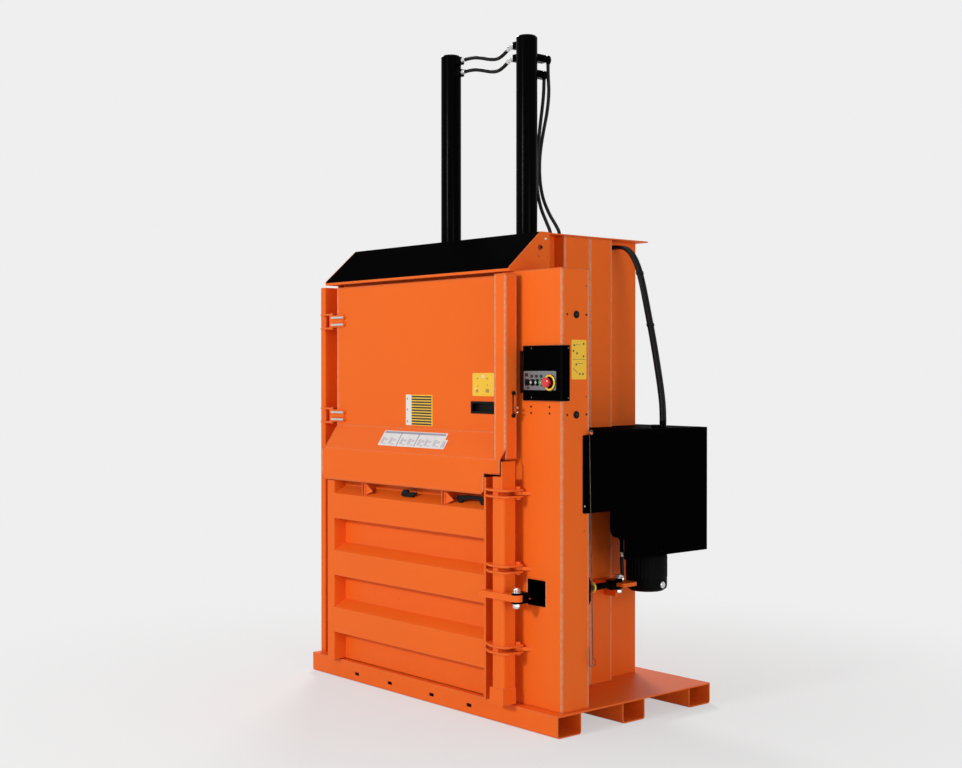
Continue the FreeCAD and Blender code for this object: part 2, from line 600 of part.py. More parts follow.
def press():
    cylinders = [press_cylinder("Left", "-"), press_cylinder("Right", "+")]
    keep(group("PressCylinders", cylinders), "press_cylinders")

    piston_top = f"{PRESS_TOP} - press_cap - 4"
    piston_foot = f"{piston_top} - piston_length"
    piston = "press_bore - 2 * sliding_gap"
    rods = []
    for sign in ("-", "+"):
        profile = [
            (piston_top, "0"), (piston_top, piston), (piston_foot, piston), (piston_foot, "press_rod"),
            (f"{PLATEN_TOP} + wall_sheet", "press_rod"), (f"{PLATEN_TOP} + wall_sheet", "rod_foot"),
            (PLATEN_TOP, "rod_foot"),
            (PLATEN_TOP, "0"),
        ]
        rods.append(turned("PistonRod", "Z", (f"{PRESS_CENTRE} {sign} press_spread", "press_depth"), profile))
    keep(group("PistonRods", rods), "piston_rods")

    left = "chamber_left + platen_side_gap"
    right = f"{CHAMBER_RIGHT} - platen_side_gap"
    upper = "platen_under + platen_plate"
    points = [(left, "platen_under")]
    for side in ("-strap_outer", "-strap_inner", "strap_inner", "strap_outer"):
        middle = f"strap_centre + {side}"
        points += [
            (f"{middle} - strap_groove / 2", "platen_under"),
            (f"{middle} - strap_groove / 2", "platen_under + groove_depth"),
            (f"{middle} + strap_groove / 2", "platen_under + groove_depth"),
            (f"{middle} + strap_groove / 2", "platen_under"),
        ]
    points += [(right, "platen_under"), (right, upper), (left, upper)]
    sole = prism("PlatenSole", "Y", ("platen_front", "platen_rear"), points)
    ribs = []
    up = (upper, PLATEN_TOP)
    for middle in ("platen_front + platen_web", "press_depth - rod_foot / 2", "press_depth + rod_foot / 2",
                   "platen_rear - platen_web"):
        ribs.append(block("PlatenRib", (left, right),
                          (f"{middle} - platen_web / 2", f"{middle} + platen_web / 2"), up))
    for middle in (f"{left} + platen_web", f"{PRESS_CENTRE} - press_spread", PRESS_CENTRE,
                   f"{PRESS_CENTRE} + press_spread",
                   f"{right} - platen_web"):
        ribs.append(block("PlatenWeb", (f"{middle} - platen_web / 2", f"{middle} + platen_web / 2"),
                          ("platen_front", "platen_rear"), up))
    keep(fuse("PressPlaten", [sole] + ribs), "press_platen")


# ---------------------------------------------------------------- feed door
def feed_door():
    """One folded door: set-back panel, sloped chute face, raised band below, raised strip on the right."""
    front = ("strip_face", "strip_face + feed_sheet")
    rise = "(feed_base - band_top)"
    run = "(feed_panel - strip_face)"
    drop = f"feed_sheet * (sqrt({rise}^2 + {run}^2) - {rise}) / {run}"
    section = [
        ("feed_panel", "feed_top"), ("feed_panel", "feed_base"), ("strip_face", "band_top"),
        ("strip_face", f"band_top - {drop}"), ("strip_face + feed_sheet", f"band_top - {drop}"),
        ("feed_panel + feed_sheet", f"feed_base - {drop}"), ("feed_panel + feed_sheet", "feed_top"),
    ]
    panel = prism("FeedPanel", "X", ("feed_left", "strip_left"), section)
    face = [
        ("band_left", "band_top"), ("band_left", "band_base"), ("notch_left - 18", "band_base"),
        ("notch_left", "band_base + 14"), ("notch_left", "notch_top"), ("notch_right", "notch_top"),
        ("notch_right", "band_top - 3"), ("strip_right", "strip_foot"), ("strip_right", "feed_top"),
        ("strip_left", "feed_top"), ("strip_left", "band_top"),
    ]
    plate = prism("FeedFace", "Y", front, face, {"band_round": (1,)})
    behind = (front[1], "feed_panel + feed_sheet")
    folds = [
        block("StripLeft", ("strip_left", "strip_left + feed_sheet"), behind, ("band_top", "feed_top")),
        block("StripRight", ("strip_right - feed_sheet", "strip_right"), (front[1], "strip_back"),
              ("band_top + 2", "feed_top")),
        block("StripTop", ("strip_left", "strip_right"), (front[1], "strip_back"),
              ("feed_top - feed_sheet", "feed_top")),
        block("BandLeft", ("band_left", "band_left + feed_sheet"), (front[1], "-fold_depth"),
              ("band_base + band_round", "band_top")),
        block("BandFoot", ("band_left + band_round", "notch_left - 18"), (front[1], "-fold_depth"),
              ("band_base", "band_base + feed_sheet")),
    ]
    back_fold = ("feed_panel + feed_sheet", "feed_panel + feed_sheet + fold_depth")
    folds += [
        block("PanelLeft", ("feed_left", "feed_left + feed_sheet"), back_fold, ("feed_base", "feed_top")),
        block("PanelTop", ("feed_left", "strip_left"), back_fold, ("feed_top - feed_sheet", "feed_top")),
    ]
    whole = fuse("FeedDoorSheet", [panel, plate] + folds)
    across = ("handle_left", "handle_left + handle_width")
    up = ("handle_base", "handle_base + handle_height")
    window = block("HandleWindow", across, ("feed_panel - 1", "feed_panel + feed_sheet + 1"), up)
    keep(cut("FeedDoor", whole, [window]), "feed_door")

    lip = "2 * handle_sheet"
    gap = "seat_gap"
    rim = block("HandleRim", (f"{across[0]} - {lip}", f"{across[1]} + {lip}"),
                ("feed_panel - handle_sheet / 2", "feed_panel"),
                (f"{up[0]} - {lip}", f"{up[1]} + {lip}"))
    cup = block("HandleCup", (f"{across[0]} + {gap}", f"{across[1]} - {gap}"),
                ("feed_panel", "feed_panel + handle_depth"),
                (f"{up[0]} + {gap}", f"{up[1]} - {gap}"))
    hollow = block("HandleHollow", (f"{across[0]} + handle_sheet", f"{across[1]} - handle_sheet"),
                   ("feed_panel - handle_sheet", "feed_panel + handle_depth - handle_sheet"),
                   (f"{up[0]} + handle_sheet", f"{up[1]} - handle_sheet"))
    keep(cut("FeedHandle", fuse("HandleShell", [rim, cup]), [hollow]), "feed_door_handle")


def feed_hinges():
    knuckles, bars, brackets = [], [], []
    axis = ("feed_hinge_x", "feed_hinge_y")
    for level in ("feed_hinge_low", "feed_hinge_high"):
        low, high = f"{level} - knuckle_height / 2", f"{level} + knuckle_height / 2"
        barrel = round_bar("Knuckle", "Z", axis, (low, high), "knuckle_width")
        leaf_face = "feed_panel - bracket_sheet"
        across = ("feed_hinge_x", "hinge_bar_left + hinge_bar_length - 13")
        leaf = block("Leaf", across, (leaf_face, "feed_panel"), (low, high))
        bore = round_bar("KnuckleBore", "Z", axis, (f"{low} - 1", f"{high} + 1"), "feed_pin + 2 * pin_gap")
        knuckles.append(cut("FeedKnuckle", fuse("KnuckleBody", [barrel, leaf]), [bore]))
        for side in ("-", "+"):
            centre = (f"{leaf_face} - hinge_bar / 2", f"{level} {side} hinge_bar_gap / 2")
            span = ("hinge_bar_left", "hinge_bar_left + hinge_bar_length")
            bars.append(round_bar("HingeBar", "X", centre, span, "hinge_bar"))
        ears = []
        column = "left_post_outer + left_post_width"
        for start, end in ((f"{low} - seat_gap - bracket_sheet", f"{low} - seat_gap"),
                           (f"{high} + seat_gap", f"{high} + seat_gap + bracket_sheet")):
            half = "knuckle_width / 2"
            ear = block("BracketEar", (column, "feed_hinge_x"),
                        (f"feed_hinge_y - {half}", f"column_face + {half}"), (start, end))
            nose = round_bar("BracketNose", "Z", axis, (start, end), "knuckle_width")
            ears += [ear, nose]
        spine_depth = ("column_face", "column_face + knuckle_width / 2")
        spine_up = (f"{low} - seat_gap - bracket_sheet", f"{high} + seat_gap + bracket_sheet")
        ears.append(block("BracketSpine", (column, f"{column} + bracket_sheet"), spine_depth, spine_up))
        pin_span = (f"{low} - bracket_sheet - 4", f"{high} + bracket_sheet + 4")
        ears.append(round_bar("FeedPin", "Z", axis, pin_span, "feed_pin"))
        brackets.append(fuse("FeedBracket", ears))
    keep(group("FeedKnuckles", knuckles), "feed_hinge_knuckles")
    keep(group("FeedBars", bars), "feed_hinge_bars")
    keep(group("FeedBrackets", brackets), "feed_hinge_brackets")

    latches = []
    for level in ("latch_low", "latch_high"):
        centre = ("strip_back - latch_knob", level)
        latches.append(round_bar("LatchKnob", "X", centre, ("strip_right", "strip_right + 8"), "latch_knob"))
    for level in ("latch_low + 13", "latch_low + 33"):
        centre = ("strip_back - 0.7 * latch_pin", level)
        latches.append(round_bar("LatchPin", "X", centre, ("strip_right", "strip_right + 20"), "latch_pin"))
    keep(group("FeedLatches", latches), "feed_latches")


# ---------------------------------------------------------------- bale door
DOOR_BACK = "door_recess + door_sheet"


def bale_door_section():
    """The corrugated sheet, top down: each rib has a slope out, a front, a ledge back and a recess."""
    depth = "(door_recess - door_face)"
    lag = f"door_sheet * (sqrt({depth}^2 + rib_rise^2) - rib_rise) / {depth}"
    outside = [("door_recess", "door_top")]
    inside = [(DOOR_BACK, "door_top")]
    for number in range(3):
        top = f"rib_top - {number} * rib_pitch"
        foot = f"{top} - rib_height"
        outside += [("door_recess", f"{top} + rib_rise"), ("door_face", top), ("door_face", foot),
                    ("door_recess", foot)]
        inner_face = "door_face + door_sheet"
        inside += [
            (DOOR_BACK, f"{top} + rib_rise - {lag}"), (inner_face, f"{top} - {lag}"),
            (inner_face, f"{foot} + door_sheet"),
            (DOOR_BACK, f"{foot} + door_sheet"),
        ]
    outside.append(("door_recess", "door_base"))
    inside.append((DOOR_BACK, "door_base"))
    return outside + inside[::-1]


def bale_door():
    strip_end = "door_left + edge_strip"
    keep(prism("BaleDoorSheet", "X", (strip_end, "flange_left"), bale_door_section()), "bale_door_sheet")
    upright = ("door_base", "door_top")
    across = ("door_left", "flange_left + flange_sheet_width")
    inner = block("InnerPlate", across, (DOOR_BACK, f"{DOOR_BACK} + inner_plate"), upright)
    keep(inner, "bale_door_inner_plate")
    strip = [
        ("door_left", DOOR_BACK), ("door_left", "door_face"), (strip_end, "door_face"),
        (strip_end, DOOR_BACK),
        (f"{strip_end} - door_sheet", DOOR_BACK), (f"{strip_end} - door_sheet", "door_face + door_sheet"),
        ("door_left + door_sheet", "door_face + door_sheet"), ("door_left + door_sheet", DOOR_BACK),
    ]
    edge = prism("EdgeStrip", "Z", upright, strip, {"door_sheet - 1": (1, 2)})
    flange_face = "strip_face"
    flange = block("FlangePlate", ("flange_left", "flange_left + flange_sheet_width"),
                   (flange_face, DOOR_BACK),
                   ("post_foot", "flange_top"))
    keep(group("DoorEdges", [edge, flange]), "bale_door_edges")


def hinge_post():
    """Square post with a shoe, a fin and three pairs of collars, cut back between them for the tongues."""
    upright = ("post_foot", "post_top")
    corners = [("post_left", "post_face"), ("post_right", "post_face"), ("post_right", "post_back"),
               ("post_left", "post_back")]
    post = prism("PostBar", "Z", upright, corners, {"post_round": (0, 1)})
    shoe = block("PostShoe", ("post_left - shoe_margin", "post_right + shoe_margin"),
                 ("post_face - shoe_margin", "post_back"),
                 ("post_foot", "post_foot + shoe_height"))
    fin = block("PostFin", ("post_right - fin_sheet", "post_right"), ("fin_face", "post_back"),
                ("hinge_high + collar_gap / 2 + collar_sheet", "fin_top"))
    pieces = [post, shoe, fin]
    gaps, bolts = [], []
    start = "flange_left + flange_sheet_width"
    for level in HINGE_LEVELS:
        half_gap = "collar_gap / 2"
        for low, high in ((f"{level} - {half_gap} - collar_sheet", f"{level} - {half_gap}"),
                          (f"{level} + {half_gap}", f"{level} + {half_gap} + collar_sheet")):
            shape = [
                (start, "collar_face + 28"), ("post_left", "collar_face"), ("collar_right", "collar_face"),
                ("collar_right", "hinge_y"), ("hinge_x - collar_eye", "hinge_y"),
                ("post_left + 20", "post_back - 6"),
                (start, "post_back - 6"),
            ]
            plate = prism("CollarPlate", "Z", (low, high), shape, {"collar_round": (2,)})
            eye = round_bar("CollarEye", "Z", ("hinge_x", "hinge_y"), (low, high), "2 * collar_eye")
            pieces += [plate, eye]
            gaps.append(round_bar("CollarBore", "Z", ("hinge_x", "hinge_y"), (f"{low} - 1", f"{high} + 1"),
                                  "hinge_bolt + 2 * pin_gap"))
        gaps.append(block("PostGap", ("post_core", "collar_right + 1"), ("fin_face - 10", "post_back + 1"),
                          (f"{level} - {half_gap}", f"{level} + {half_gap}")))
        reach = f"({half_gap} + collar_sheet)"
        span = (f"{level} - {reach}", f"{level} + {reach}")
        shank = round_bar("HingeShank", "Z", ("hinge_x", "hinge_y"), span, "hinge_bolt")
        above = (f"{level} + {reach}", f"{level} + {reach} + bolt_head_height")
        below = (f"{level} - {reach} - bolt_head_height", f"{level} - {reach}")
        cap = hex_head("HingeHead", ("hinge_x", "hinge_y"), above, "bolt_head")
        nut = hex_head("HingeNut", ("hinge_x", "hinge_y"), below, "bolt_head")
        bolts.append(fuse("HingeBolt", [shank, cap, nut]))
    arm_up = ("arm_level - arm_height / 2", "arm_level + arm_height / 2")
    arm_depth = ("arm_y - arm_width / 2", "arm_y + arm_width / 2")
    gaps.append(block("ArmSeat", (start, "collar_right"), arm_depth, arm_up))
    keep(cut("HingePost", fuse("PostWelded", pieces), gaps), "bale_door_post")
    keep(group("HingeBolts", bolts), "bale_door_hinge_bolts")

    bar = block("ArmBar", (start, "arm_x"), arm_depth, arm_up)
    tip = round_bar("ArmTip", "Z", ("arm_x", "arm_y"), arm_up, "arm_width")
    bore = round_bar("ArmBore", "Z", ("arm_x", "arm_y"), (f"{arm_up[0]} - 1", f"{arm_up[1]} + 1"),
                     "arm_pin + 2 * pin_gap")
    keep(cut("DoorArm", fuse("ArmBody", [bar, tip]), [bore]), "door_arm")


def shelf_level(depth):
    """Height of the sloped shelf above the top rib at a depth."""
    return f"rib_top + rib_rise * (({depth}) - door_face) / (door_recess - door_face) + seat_gap"


def strap_guides():
    """Two slotted guides on the shelf above the top rib, each with a triangular gusset on its right."""
    pieces = []
    front = "door_face + guide_inset"
    rear = "door_recess - seat_gap"
    for middle in ("guide_left", "guide_right"):
        for sign, across in (
            ("-", (f"{middle} - guide_slot / 2 - guide_sheet", f"{middle} - guide_slot / 2")),
            ("+", (f"{middle} + guide_slot / 2", f"{middle} + guide_slot / 2 + guide_sheet")),
        ):
            profile = [(front, shelf_level(front)), (rear, shelf_level(rear)), (rear, "door_top"),
                       (front, "door_top")]
            pieces.append(prism(f"Guide{sign}", "X", across, profile))
        root = f"{middle} + guide_slot / 2 + guide_sheet"
        gusset_rear = "gusset_face + gusset_sheet"
        triangle = [(root, shelf_level(gusset_rear)), (f"{root} + gusset_reach", "gusset_tip"),
                    (root, "gusset_top")]
        pieces.append(prism("Gusset", "Y", ("gusset_face", gusset_rear), triangle))
    keep(group("StrapGuides", pieces), "strap_guides")


def strap_hooks():
    """A short hook and a long one for the bale straps, standing on the sloped shelf."""
    rear = "hook_face + hook_sheet"
    foot = shelf_level(rear)
    left, right = "hook_left", "hook_right"
    short = [
        (left, f"{foot} + 6"), (f"{left} + 8", "hook_top - 10"), (f"{left} + 20", "hook_top"),
        (f"{left} + 46", "hook_top"),
        (f"{left} + 54", "hook_top - 11"), (f"{left} + 112", "hook_top - 8"), (f"{left} + 82", foot),
        (f"{left} + 12", foot),
    ]
    long = [
        (f"{right} - 184", "hook_top"), (f"{right} - 62", "hook_top + 3"), (right, "hook_top + 3"),
        (right, foot),
        (f"{right} - 24", foot), (f"{right} - 33", "hook_top - 17"), (f"{right} - 50", "hook_top - 10"),
        (f"{right} - 112", "hook_top - 14"), (f"{right} - 146", "hook_top - 22"), (f"{right} - 154", foot),
        (f"{right} - 172", foot), (f"{right} - 184", "hook_top - 16"),
    ]
    hooks = [
        prism("ShortHook", "Y", ("hook_face", rear), short, {"6": (2, 3)}),
        prism("LongHook", "Y", ("hook_face", rear), long, {"8": (6,), "5": (0, 11)}),
    ]
    keep(group("StrapHooks", hooks), "strap_hooks")


# ---------------------------------------------------------------- ram that opens the bale door
def ram():
    x, level = "arm_x", "arm_level"
    fork_up = (f"{level} - arm_height / 2 - seat_gap - fork_sheet",
               f"{level} + arm_height / 2 + seat_gap + fork_sheet")
    wide = (f"{x} - fork_radius", f"{x} + fork_radius")
    bridge_at = "arm_y + fork_reach"
    pieces = [block("ForkBridge", wide, (bridge_at, f"{bridge_at} + fork_block"), fork_up)]
    for up in ((fork_up[0], f"{fork_up[0]} + fork_sheet"), (f"{fork_up[1]} - fork_sheet", fork_up[1])):
        pieces.append(block("ForkEar", wide, ("arm_y", bridge_at), up))
        pieces.append(round_bar("ForkNose", "Z", (x, "arm_y"), up, "2 * fork_radius"))
    pieces.append(round_bar("ArmPin", "Z", (x, "arm_y"), fork_up, "arm_pin"))
    pieces.append(hex_head("PinHead", (x, "arm_y"), (fork_up[1], f"{fork_up[1]} + pin_head_height"),
                           "pin_head"))
    pieces.append(hex_head("PinNut", (x, "arm_y"), (f"{fork_up[0]} - pin_head_height", fork_up[0]),
                           "pin_head"))
    keep(fuse("RamFork", pieces), "ram_fork")

    piston = "ram_bore - 2 * sliding_gap"
    piston_front = "ram_start + ram_gland + 2"
    rod_profile = [
        (f"{bridge_at} + fork_block", "0"), (f"{bridge_at} + fork_block", "ram_rod"),
        (piston_front, "ram_rod"),
        (piston_front, piston), (f"{piston_front} + ram_piston", piston),
        (f"{piston_front} + ram_piston", "0"),
    ]
    keep(turned("RamRod", "Y", (x, level), rod_profile), "ram_rod")

    end = "ram_start + ram_length"
    block_front = "lug_y - lug_slot_width / 2 - lug_margin - lug_play - tail_block"
    shell = [
        ("ram_start", "ram_rod + 2 * sliding_gap"), ("ram_start", "ram_barrel"), (end, "ram_barrel"),
        (end, "ram_tail"),
        (block_front, "ram_tail"), (block_front, "0"), (f"{end} - ram_end", "0"),
        (f"{end} - ram_end", "ram_bore"),
        ("ram_start + ram_gland", "ram_bore"), ("ram_start + ram_gland", "ram_rod + 2 * sliding_gap"),
    ]
    inner = "(lug_sheet / 2 + seat_gap)"
    outer = f"({inner} + lug_ear)"
    width = (f"{x} - 0.9 * lug_pin", f"{x} + 0.9 * lug_pin")
    tail = [
        turned("RamTube", "Y", (x, level), shell),
        block("TailBlock", width, (block_front, f"{block_front} + tail_block"),
              (f"{level} - {outer}", f"{level} + {outer}")),
        round_bar("LugPin", "Z", (x, "lug_y"), (f"{level} - {outer} - 4", f"{level} + {outer} + 4"),
                  "lug_pin"),
    ]
    for up in ((f"{level} - {outer}", f"{level} - {inner}"), (f"{level} + {inner}", f"{level} + {outer}")):
        tail.append(block("TailEar", width, (f"{block_front} + tail_block", "lug_y"), up))
        tail.append(round_bar("TailNose", "Z", (x, "lug_y"), up, "1.8 * lug_pin"))
    keep(fuse("RamBarrel", tail), "ram_barrel")

    up = (f"{level} - lug_sheet / 2", f"{level} + lug_sheet / 2")
    lug_front = "lug_y - lug_slot_width / 2 - lug_margin"
    lug_points = [(BODY_RIGHT, lug_front), ("lug_end", lug_front), ("lug_end", "lug_rear"),
                  (BODY_RIGHT, "lug_rear")]
    lug = prism("LugPlate", "Z", up, lug_points, {"lug_margin": (1, 2)})
    slot_left = f"{x} - lug_slot_width / 2 - 2"
    slot_points = [
        (slot_left, "lug_y - lug_slot_width / 2"), (f"{slot_left} + lug_slot", "lug_y - lug_slot_width / 2"),
        (f"{slot_left} + lug_slot", "lug_y + lug_slot_width / 2"), (slot_left, "lug_y + lug_slot_width / 2"),
    ]
    slot = prism("LugSlot", "Z", (f"{up[0]} - 1", f"{up[1]} + 1"), slot_points,
                 {"lug_slot_width / 2 - 1": (0, 1, 2, 3)})
    web = block("LugWeb", (BODY_RIGHT, f"{x} - 3 * lug_pin"), ("lug_rear - lug_sheet", "lug_rear"),
                (f"{up[0]} - 60", up[0]))
    keep(cut("RamLug", fuse("LugWelded", [lug, web]), [slot]), "ram_lug")

    margin = "guard_margin"
    guard = [
        (f"{RAM_WINDOW_X[0]} - {margin}", f"{RAM_WINDOW_Z[0]} - {margin}"),
        (f"{RAM_WINDOW_X[1]} + {margin}", f"{RAM_WINDOW_Z[0]} - {margin}"),
        (f"{RAM_WINDOW_X[1]} + {margin}", f"{RAM_WINDOW_Z[1]} + {margin}"),
        (f"{RAM_WINDOW_X[0]} - {margin}", f"{RAM_WINDOW_Z[1]} + {margin}"),
    ]
    plate = prism("GuardPlate", "Y", ("bay_front", "bay_front + guard_depth"), guard,
                  {f"{margin} - 2": (0, 1, 2, 3)})
    duct_x = (f"{RAM_WINDOW_X[0]} + seat_gap", f"{RAM_WINDOW_X[1]} - seat_gap")
    duct_z = (f"{RAM_WINDOW_Z[0]} + seat_gap", f"{RAM_WINDOW_Z[1]} - seat_gap")
    duct = block("Duct", duct_x, ("column_face", "bay_front + guard_depth"), duct_z)
    bore = block("DuctBore", (f"{duct_x[0]} + duct_sheet", f"{duct_x[1]} - duct_sheet"),
                 ("column_face - 1", "bay_front + guard_depth + 1"),
                 (f"{duct_z[0]} + duct_sheet", f"{duct_z[1]} - duct_sheet"))
    keep(cut("RamGuard", fuse("GuardWelded", [plate, duct]), [bore]), "ram_guard")


# ---------------------------------------------------------------- controls
PANEL_FACE = "column_face - panel_proud"


def controls():
    """A cover bent round the column's corner, with an emergency stop, three push buttons and a selector."""
    up = ("panel_base", "panel_base + panel_height")
    outer = "column_side + column_sheet"
    shape = [
        ("panel_left", "column_face"), ("panel_left + panel_bevel", PANEL_FACE), (outer, PANEL_FACE),
        (outer, "panel_wrap"),
        ("column_side", "panel_wrap"), ("column_side", "column_face"),
    ]
    cover = prism("PanelCover", "Z", up, shape, {"column_sheet + 2": (2,)})
    collar_face = f"{PANEL_FACE} - stop_collar_height"
    collar = round_bar("StopCollar", "Y", ("stop_x", "button_level"), (collar_face, PANEL_FACE),
                       "stop_collar")
    holes = [round_bar("StopHole", "Y", ("stop_x", "button_level"), (f"{collar_face} - 1", "column_face"),
                       "stop_stem + 2 * sliding_gap")]
    holes.append(round_bar("SelectorHole", "Y", ("selector_x", "button_level"),
                           (f"{PANEL_FACE} - 1", "column_face"),
                           "selector_size + 2 * sliding_gap"))
    inside = f"{PANEL_FACE} + panel_proud - button_stroke - 1"
    for number, label in enumerate(("start_button", "hold_button", "raise_button")):
        x = f"button_first + {number} * button_step"
        holes.append(round_bar("ButtonHole", "Y", (x, "button_level"), (f"{PANEL_FACE} - 1", "column_face"),
                               "button_size + 2 * sliding_gap"))
        front = f"{PANEL_FACE} - button_proud"
        profile = [
            (front, "0"), (front, "button_size - 4"), (f"{front} + 2", "button_size"),
            (inside, "button_size"), (inside, "0"),
        ]
        keep(turned(f"Button{number + 1}", "Y", (x, "button_level"), profile), label)
    keep(cut("ControlPanel", fuse("PanelBody", [cover, collar]), holes), "control_panel")

    tip = f"{PANEL_FACE} - stop_proud"
    neck = f"{tip} + stop_head_height"
    profile = [
        (tip, "0"), (tip, "stop_head - 10"), (f"{tip} + 5", "stop_head"), (f"{neck} - 3", "stop_head"),
        (neck, "stop_head - 6"),
        (neck, "stop_stem"), (f"{inside} - 1", "stop_stem"), (f"{inside} - 1", "0"),
    ]
    keep(turned("StopButton", "Y", ("stop_x", "button_level"), profile), "e_stop_button")
    front = f"{PANEL_FACE} - 8"
    profile = [(front, "0"), (front, "selector_size"), (inside, "selector_size"), (inside, "0")]
    boss = turned("SelectorBoss", "Y", ("selector_x", "button_level"), profile)
    grip = block("SelectorGrip", ("selector_x - 3", "selector_x + 3"), (f"{front} - 8", front),
                 ("button_level - selector_size / 2 + 1", "button_level + selector_size / 2 - 1"))
    keep(fuse("Selector", [boss, grip]), "key_selector")

    for label, level in (("cover_lock_lower", "lock_low"), ("cover_lock_upper", "lock_high")):
        outer = "column_side + seat_gap"
        stem = f"{LOCK_STEM} - 2 * sliding_gap"
        face = f"{outer} + lock_proud"
        profile = [
            (face, "0"), (face, "lock_size - 4"), (f"{face} - 2", "lock_size"), (outer, "lock_size"),
            (outer, stem), ("column_side - 12", stem), ("column_side - 12", "0"),
        ]
        body = turned("Lock", "X", ("lock_depth", level), profile)
        slot = block("LockSlot", (f"{face} - 2", f"{face} + 1"), ("lock_depth - 1.5", "lock_depth + 1.5"),
                     (f"{level} - lock_size / 2 + 5", f"{level} + lock_size / 2 - 5"))
        keep(cut("CoverLock", body, [slot]), label)


# ---------------------------------------------------------------- power unit
REAR_FACE = "chamber_rear + wall_sheet"
UNIT_FACE = "(column_side + unit_sheet)"


def power_unit():
    """A sheet cover round the body's rear corner, open towards it, over a tank, a pump and their motor."""
    wall = f"{CHAMBER_RIGHT} + wall_sheet"
    plan = [
        (UNIT_FACE, "bay_front"), (UNIT_FACE, "unit_rear"), ("unit_tail_left", "unit_rear"),
        ("unit_tail_left", REAR_FACE),
        (wall, REAR_FACE), (wall, "bay_end"), (BODY_RIGHT, "bay_end"), (BODY_RIGHT, "bay_front"),
    ]
    outside = prism("UnitOutside", "Z", ("unit_base", "unit_top"), plan)
    skin = "unit_sheet"
    room = [
        (f"{UNIT_FACE} - {skin}", f"bay_front + {skin}"), (f"{UNIT_FACE} - {skin}", f"unit_rear - {skin}"),
        (f"unit_tail_left + {skin}", f"unit_rear - {skin}"), (f"unit_tail_left + {skin}", f"{REAR_FACE} - 1"),
        (f"{wall} - 1", f"{REAR_FACE} - 1"), (f"{wall} - 1", "bay_end - 1"),
        (f"{BODY_RIGHT} - 1", "bay_end - 1"),
        (f"{BODY_RIGHT} - 1", f"bay_front + {skin}"),
    ]
    inside = prism("UnitInside", "Z", (f"unit_base + {skin}", f"unit_top - {skin}"), room)
    across = (f"{BODY_RIGHT} - 2", f"{UNIT_FACE} + 1")
    inside_keep = block("NeckWalls", across, ("bay_front", f"unit_neck + {skin}"),
                        ("unit_base", f"unit_step + {skin}"))
    cavity = cut("UnitCavity", inside, [inside_keep])
    below = block("BelowNeck", across, ("bay_front - 1", "unit_neck"), ("unit_base - 1", "unit_step"))
    lap = block("UnitLap", ("column_side", UNIT_FACE), ("bay_front - unit_lap", f"bay_front + {skin}"),
                ("unit_step", "unit_top - unit_lap_drop"))
    keep(fuse("PowerUnitCover", [cut("UnitShell", outside, [cavity, below]), lap]), "power_unit_cover")

    floor = f"unit_base + {skin}"
    tank_left = f"{BODY_RIGHT} + 20"
    tank_front = f"unit_neck + {skin} + 16"
    tank = block("TankBox", (tank_left, f"{tank_left} + tank_width"),
                 (tank_front, f"{tank_front} + tank_depth"),
                 (floor, f"{floor} + tank_height"))
    keep(tank, "oil_tank")
    centre = ("motor_x", "motor_y")
    pump = [
        (floor, "0"), (floor, "pump_size"), (f"{floor} + pump_height * 0.3", "pump_size"),
        (f"{floor} + pump_height * 0.3", "pump_size * 0.75"), (f"{floor} + pump_height", "pump_size * 0.75"),
        (f"{floor} + pump_height", "0"),
    ]
    keep(turned("Pump", "Z", centre, pump), "hydraulic_pump")
    foot = "unit_base - motor_height"
    motor = [
        ("unit_base", "0"), ("unit_base", "motor_size * 0.9"), ("unit_base - 14", "motor_size * 0.9"),
        ("unit_base - 14", "motor_size"), (f"{foot} + 40", "motor_size"),
        (f"{foot} + 34", "motor_size * 0.95"),
        (f"{foot} + 12", "motor_size * 0.95"), (foot, "motor_size * 0.8"), (foot, "0"),
    ]
    keep(turned("Motor", "Z", centre, motor), "pump_motor")
    cap = "unit_top + breather_height"
    breather = [
        ("unit_top", "0"), ("unit_top", "breather_size * 0.8"), ("unit_top + 4", "breather_size * 0.8"),
        ("unit_top + 4", "breather_size"), (f"{cap} - 3", "breather_size"), (cap, "breather_size - 8"),
        (cap, "0"),
    ]
    keep(turned("Breather", "Z", (f"{UNIT_FACE} - breather_inset", "breather_y"), breather), "unit_breather")


# ---------------------------------------------------------------- hoses and the strap-threading rod
# Each route is drawn as the hose lies; its ends are then carried to their fittings.
POWER_ROUTE = [
    (520, 700, 2036), (565, 700, 2036), (612, 700, 2012), (652, 700, 1955), (682, 700, 1870),
    (714, 700, 1745),
    (746, 700, 1618), (774, 700, 1490), (797, 700, 1370), (804, 700, 1300), (804, 700, 1262),
]
CROSS_ROUTE = [
    (-279, 490, 2987), (-222, 490, 2987), (-160, 490, 2974), (-102, 490, 2957), (-52, 490, 2949),
    (-8, 490, 2958),
    (26, 490, 2978),
]
OUTER_ROUTE = [
    (196, 588, 2899), (196, 588, 2845), (204, 587, 2770), (193, 586, 2680), (165, 585, 2585),
    (143, 585, 2490),
    (139, 585, 2390), (158, 584, 2290), (206, 583, 2205), (252, 582, 2150), (280, 581, 2110),
    (280, 581, 2070),
]
INNER_ROUTE = [
    (196, 562, 2824), (196, 562, 2775), (187, 562, 2700), (172, 562, 2610), (160, 562, 2515),
    (153, 562, 2420),
    (155, 562, 2325), (180, 562, 2235), (222, 564, 2160), (250, 566, 2112), (250, 566, 2070),
]
RAM_ROUTE = [(664, 588, 664), (664, 588, 640), (667, 588, 606), (667, 588, 581.5)]


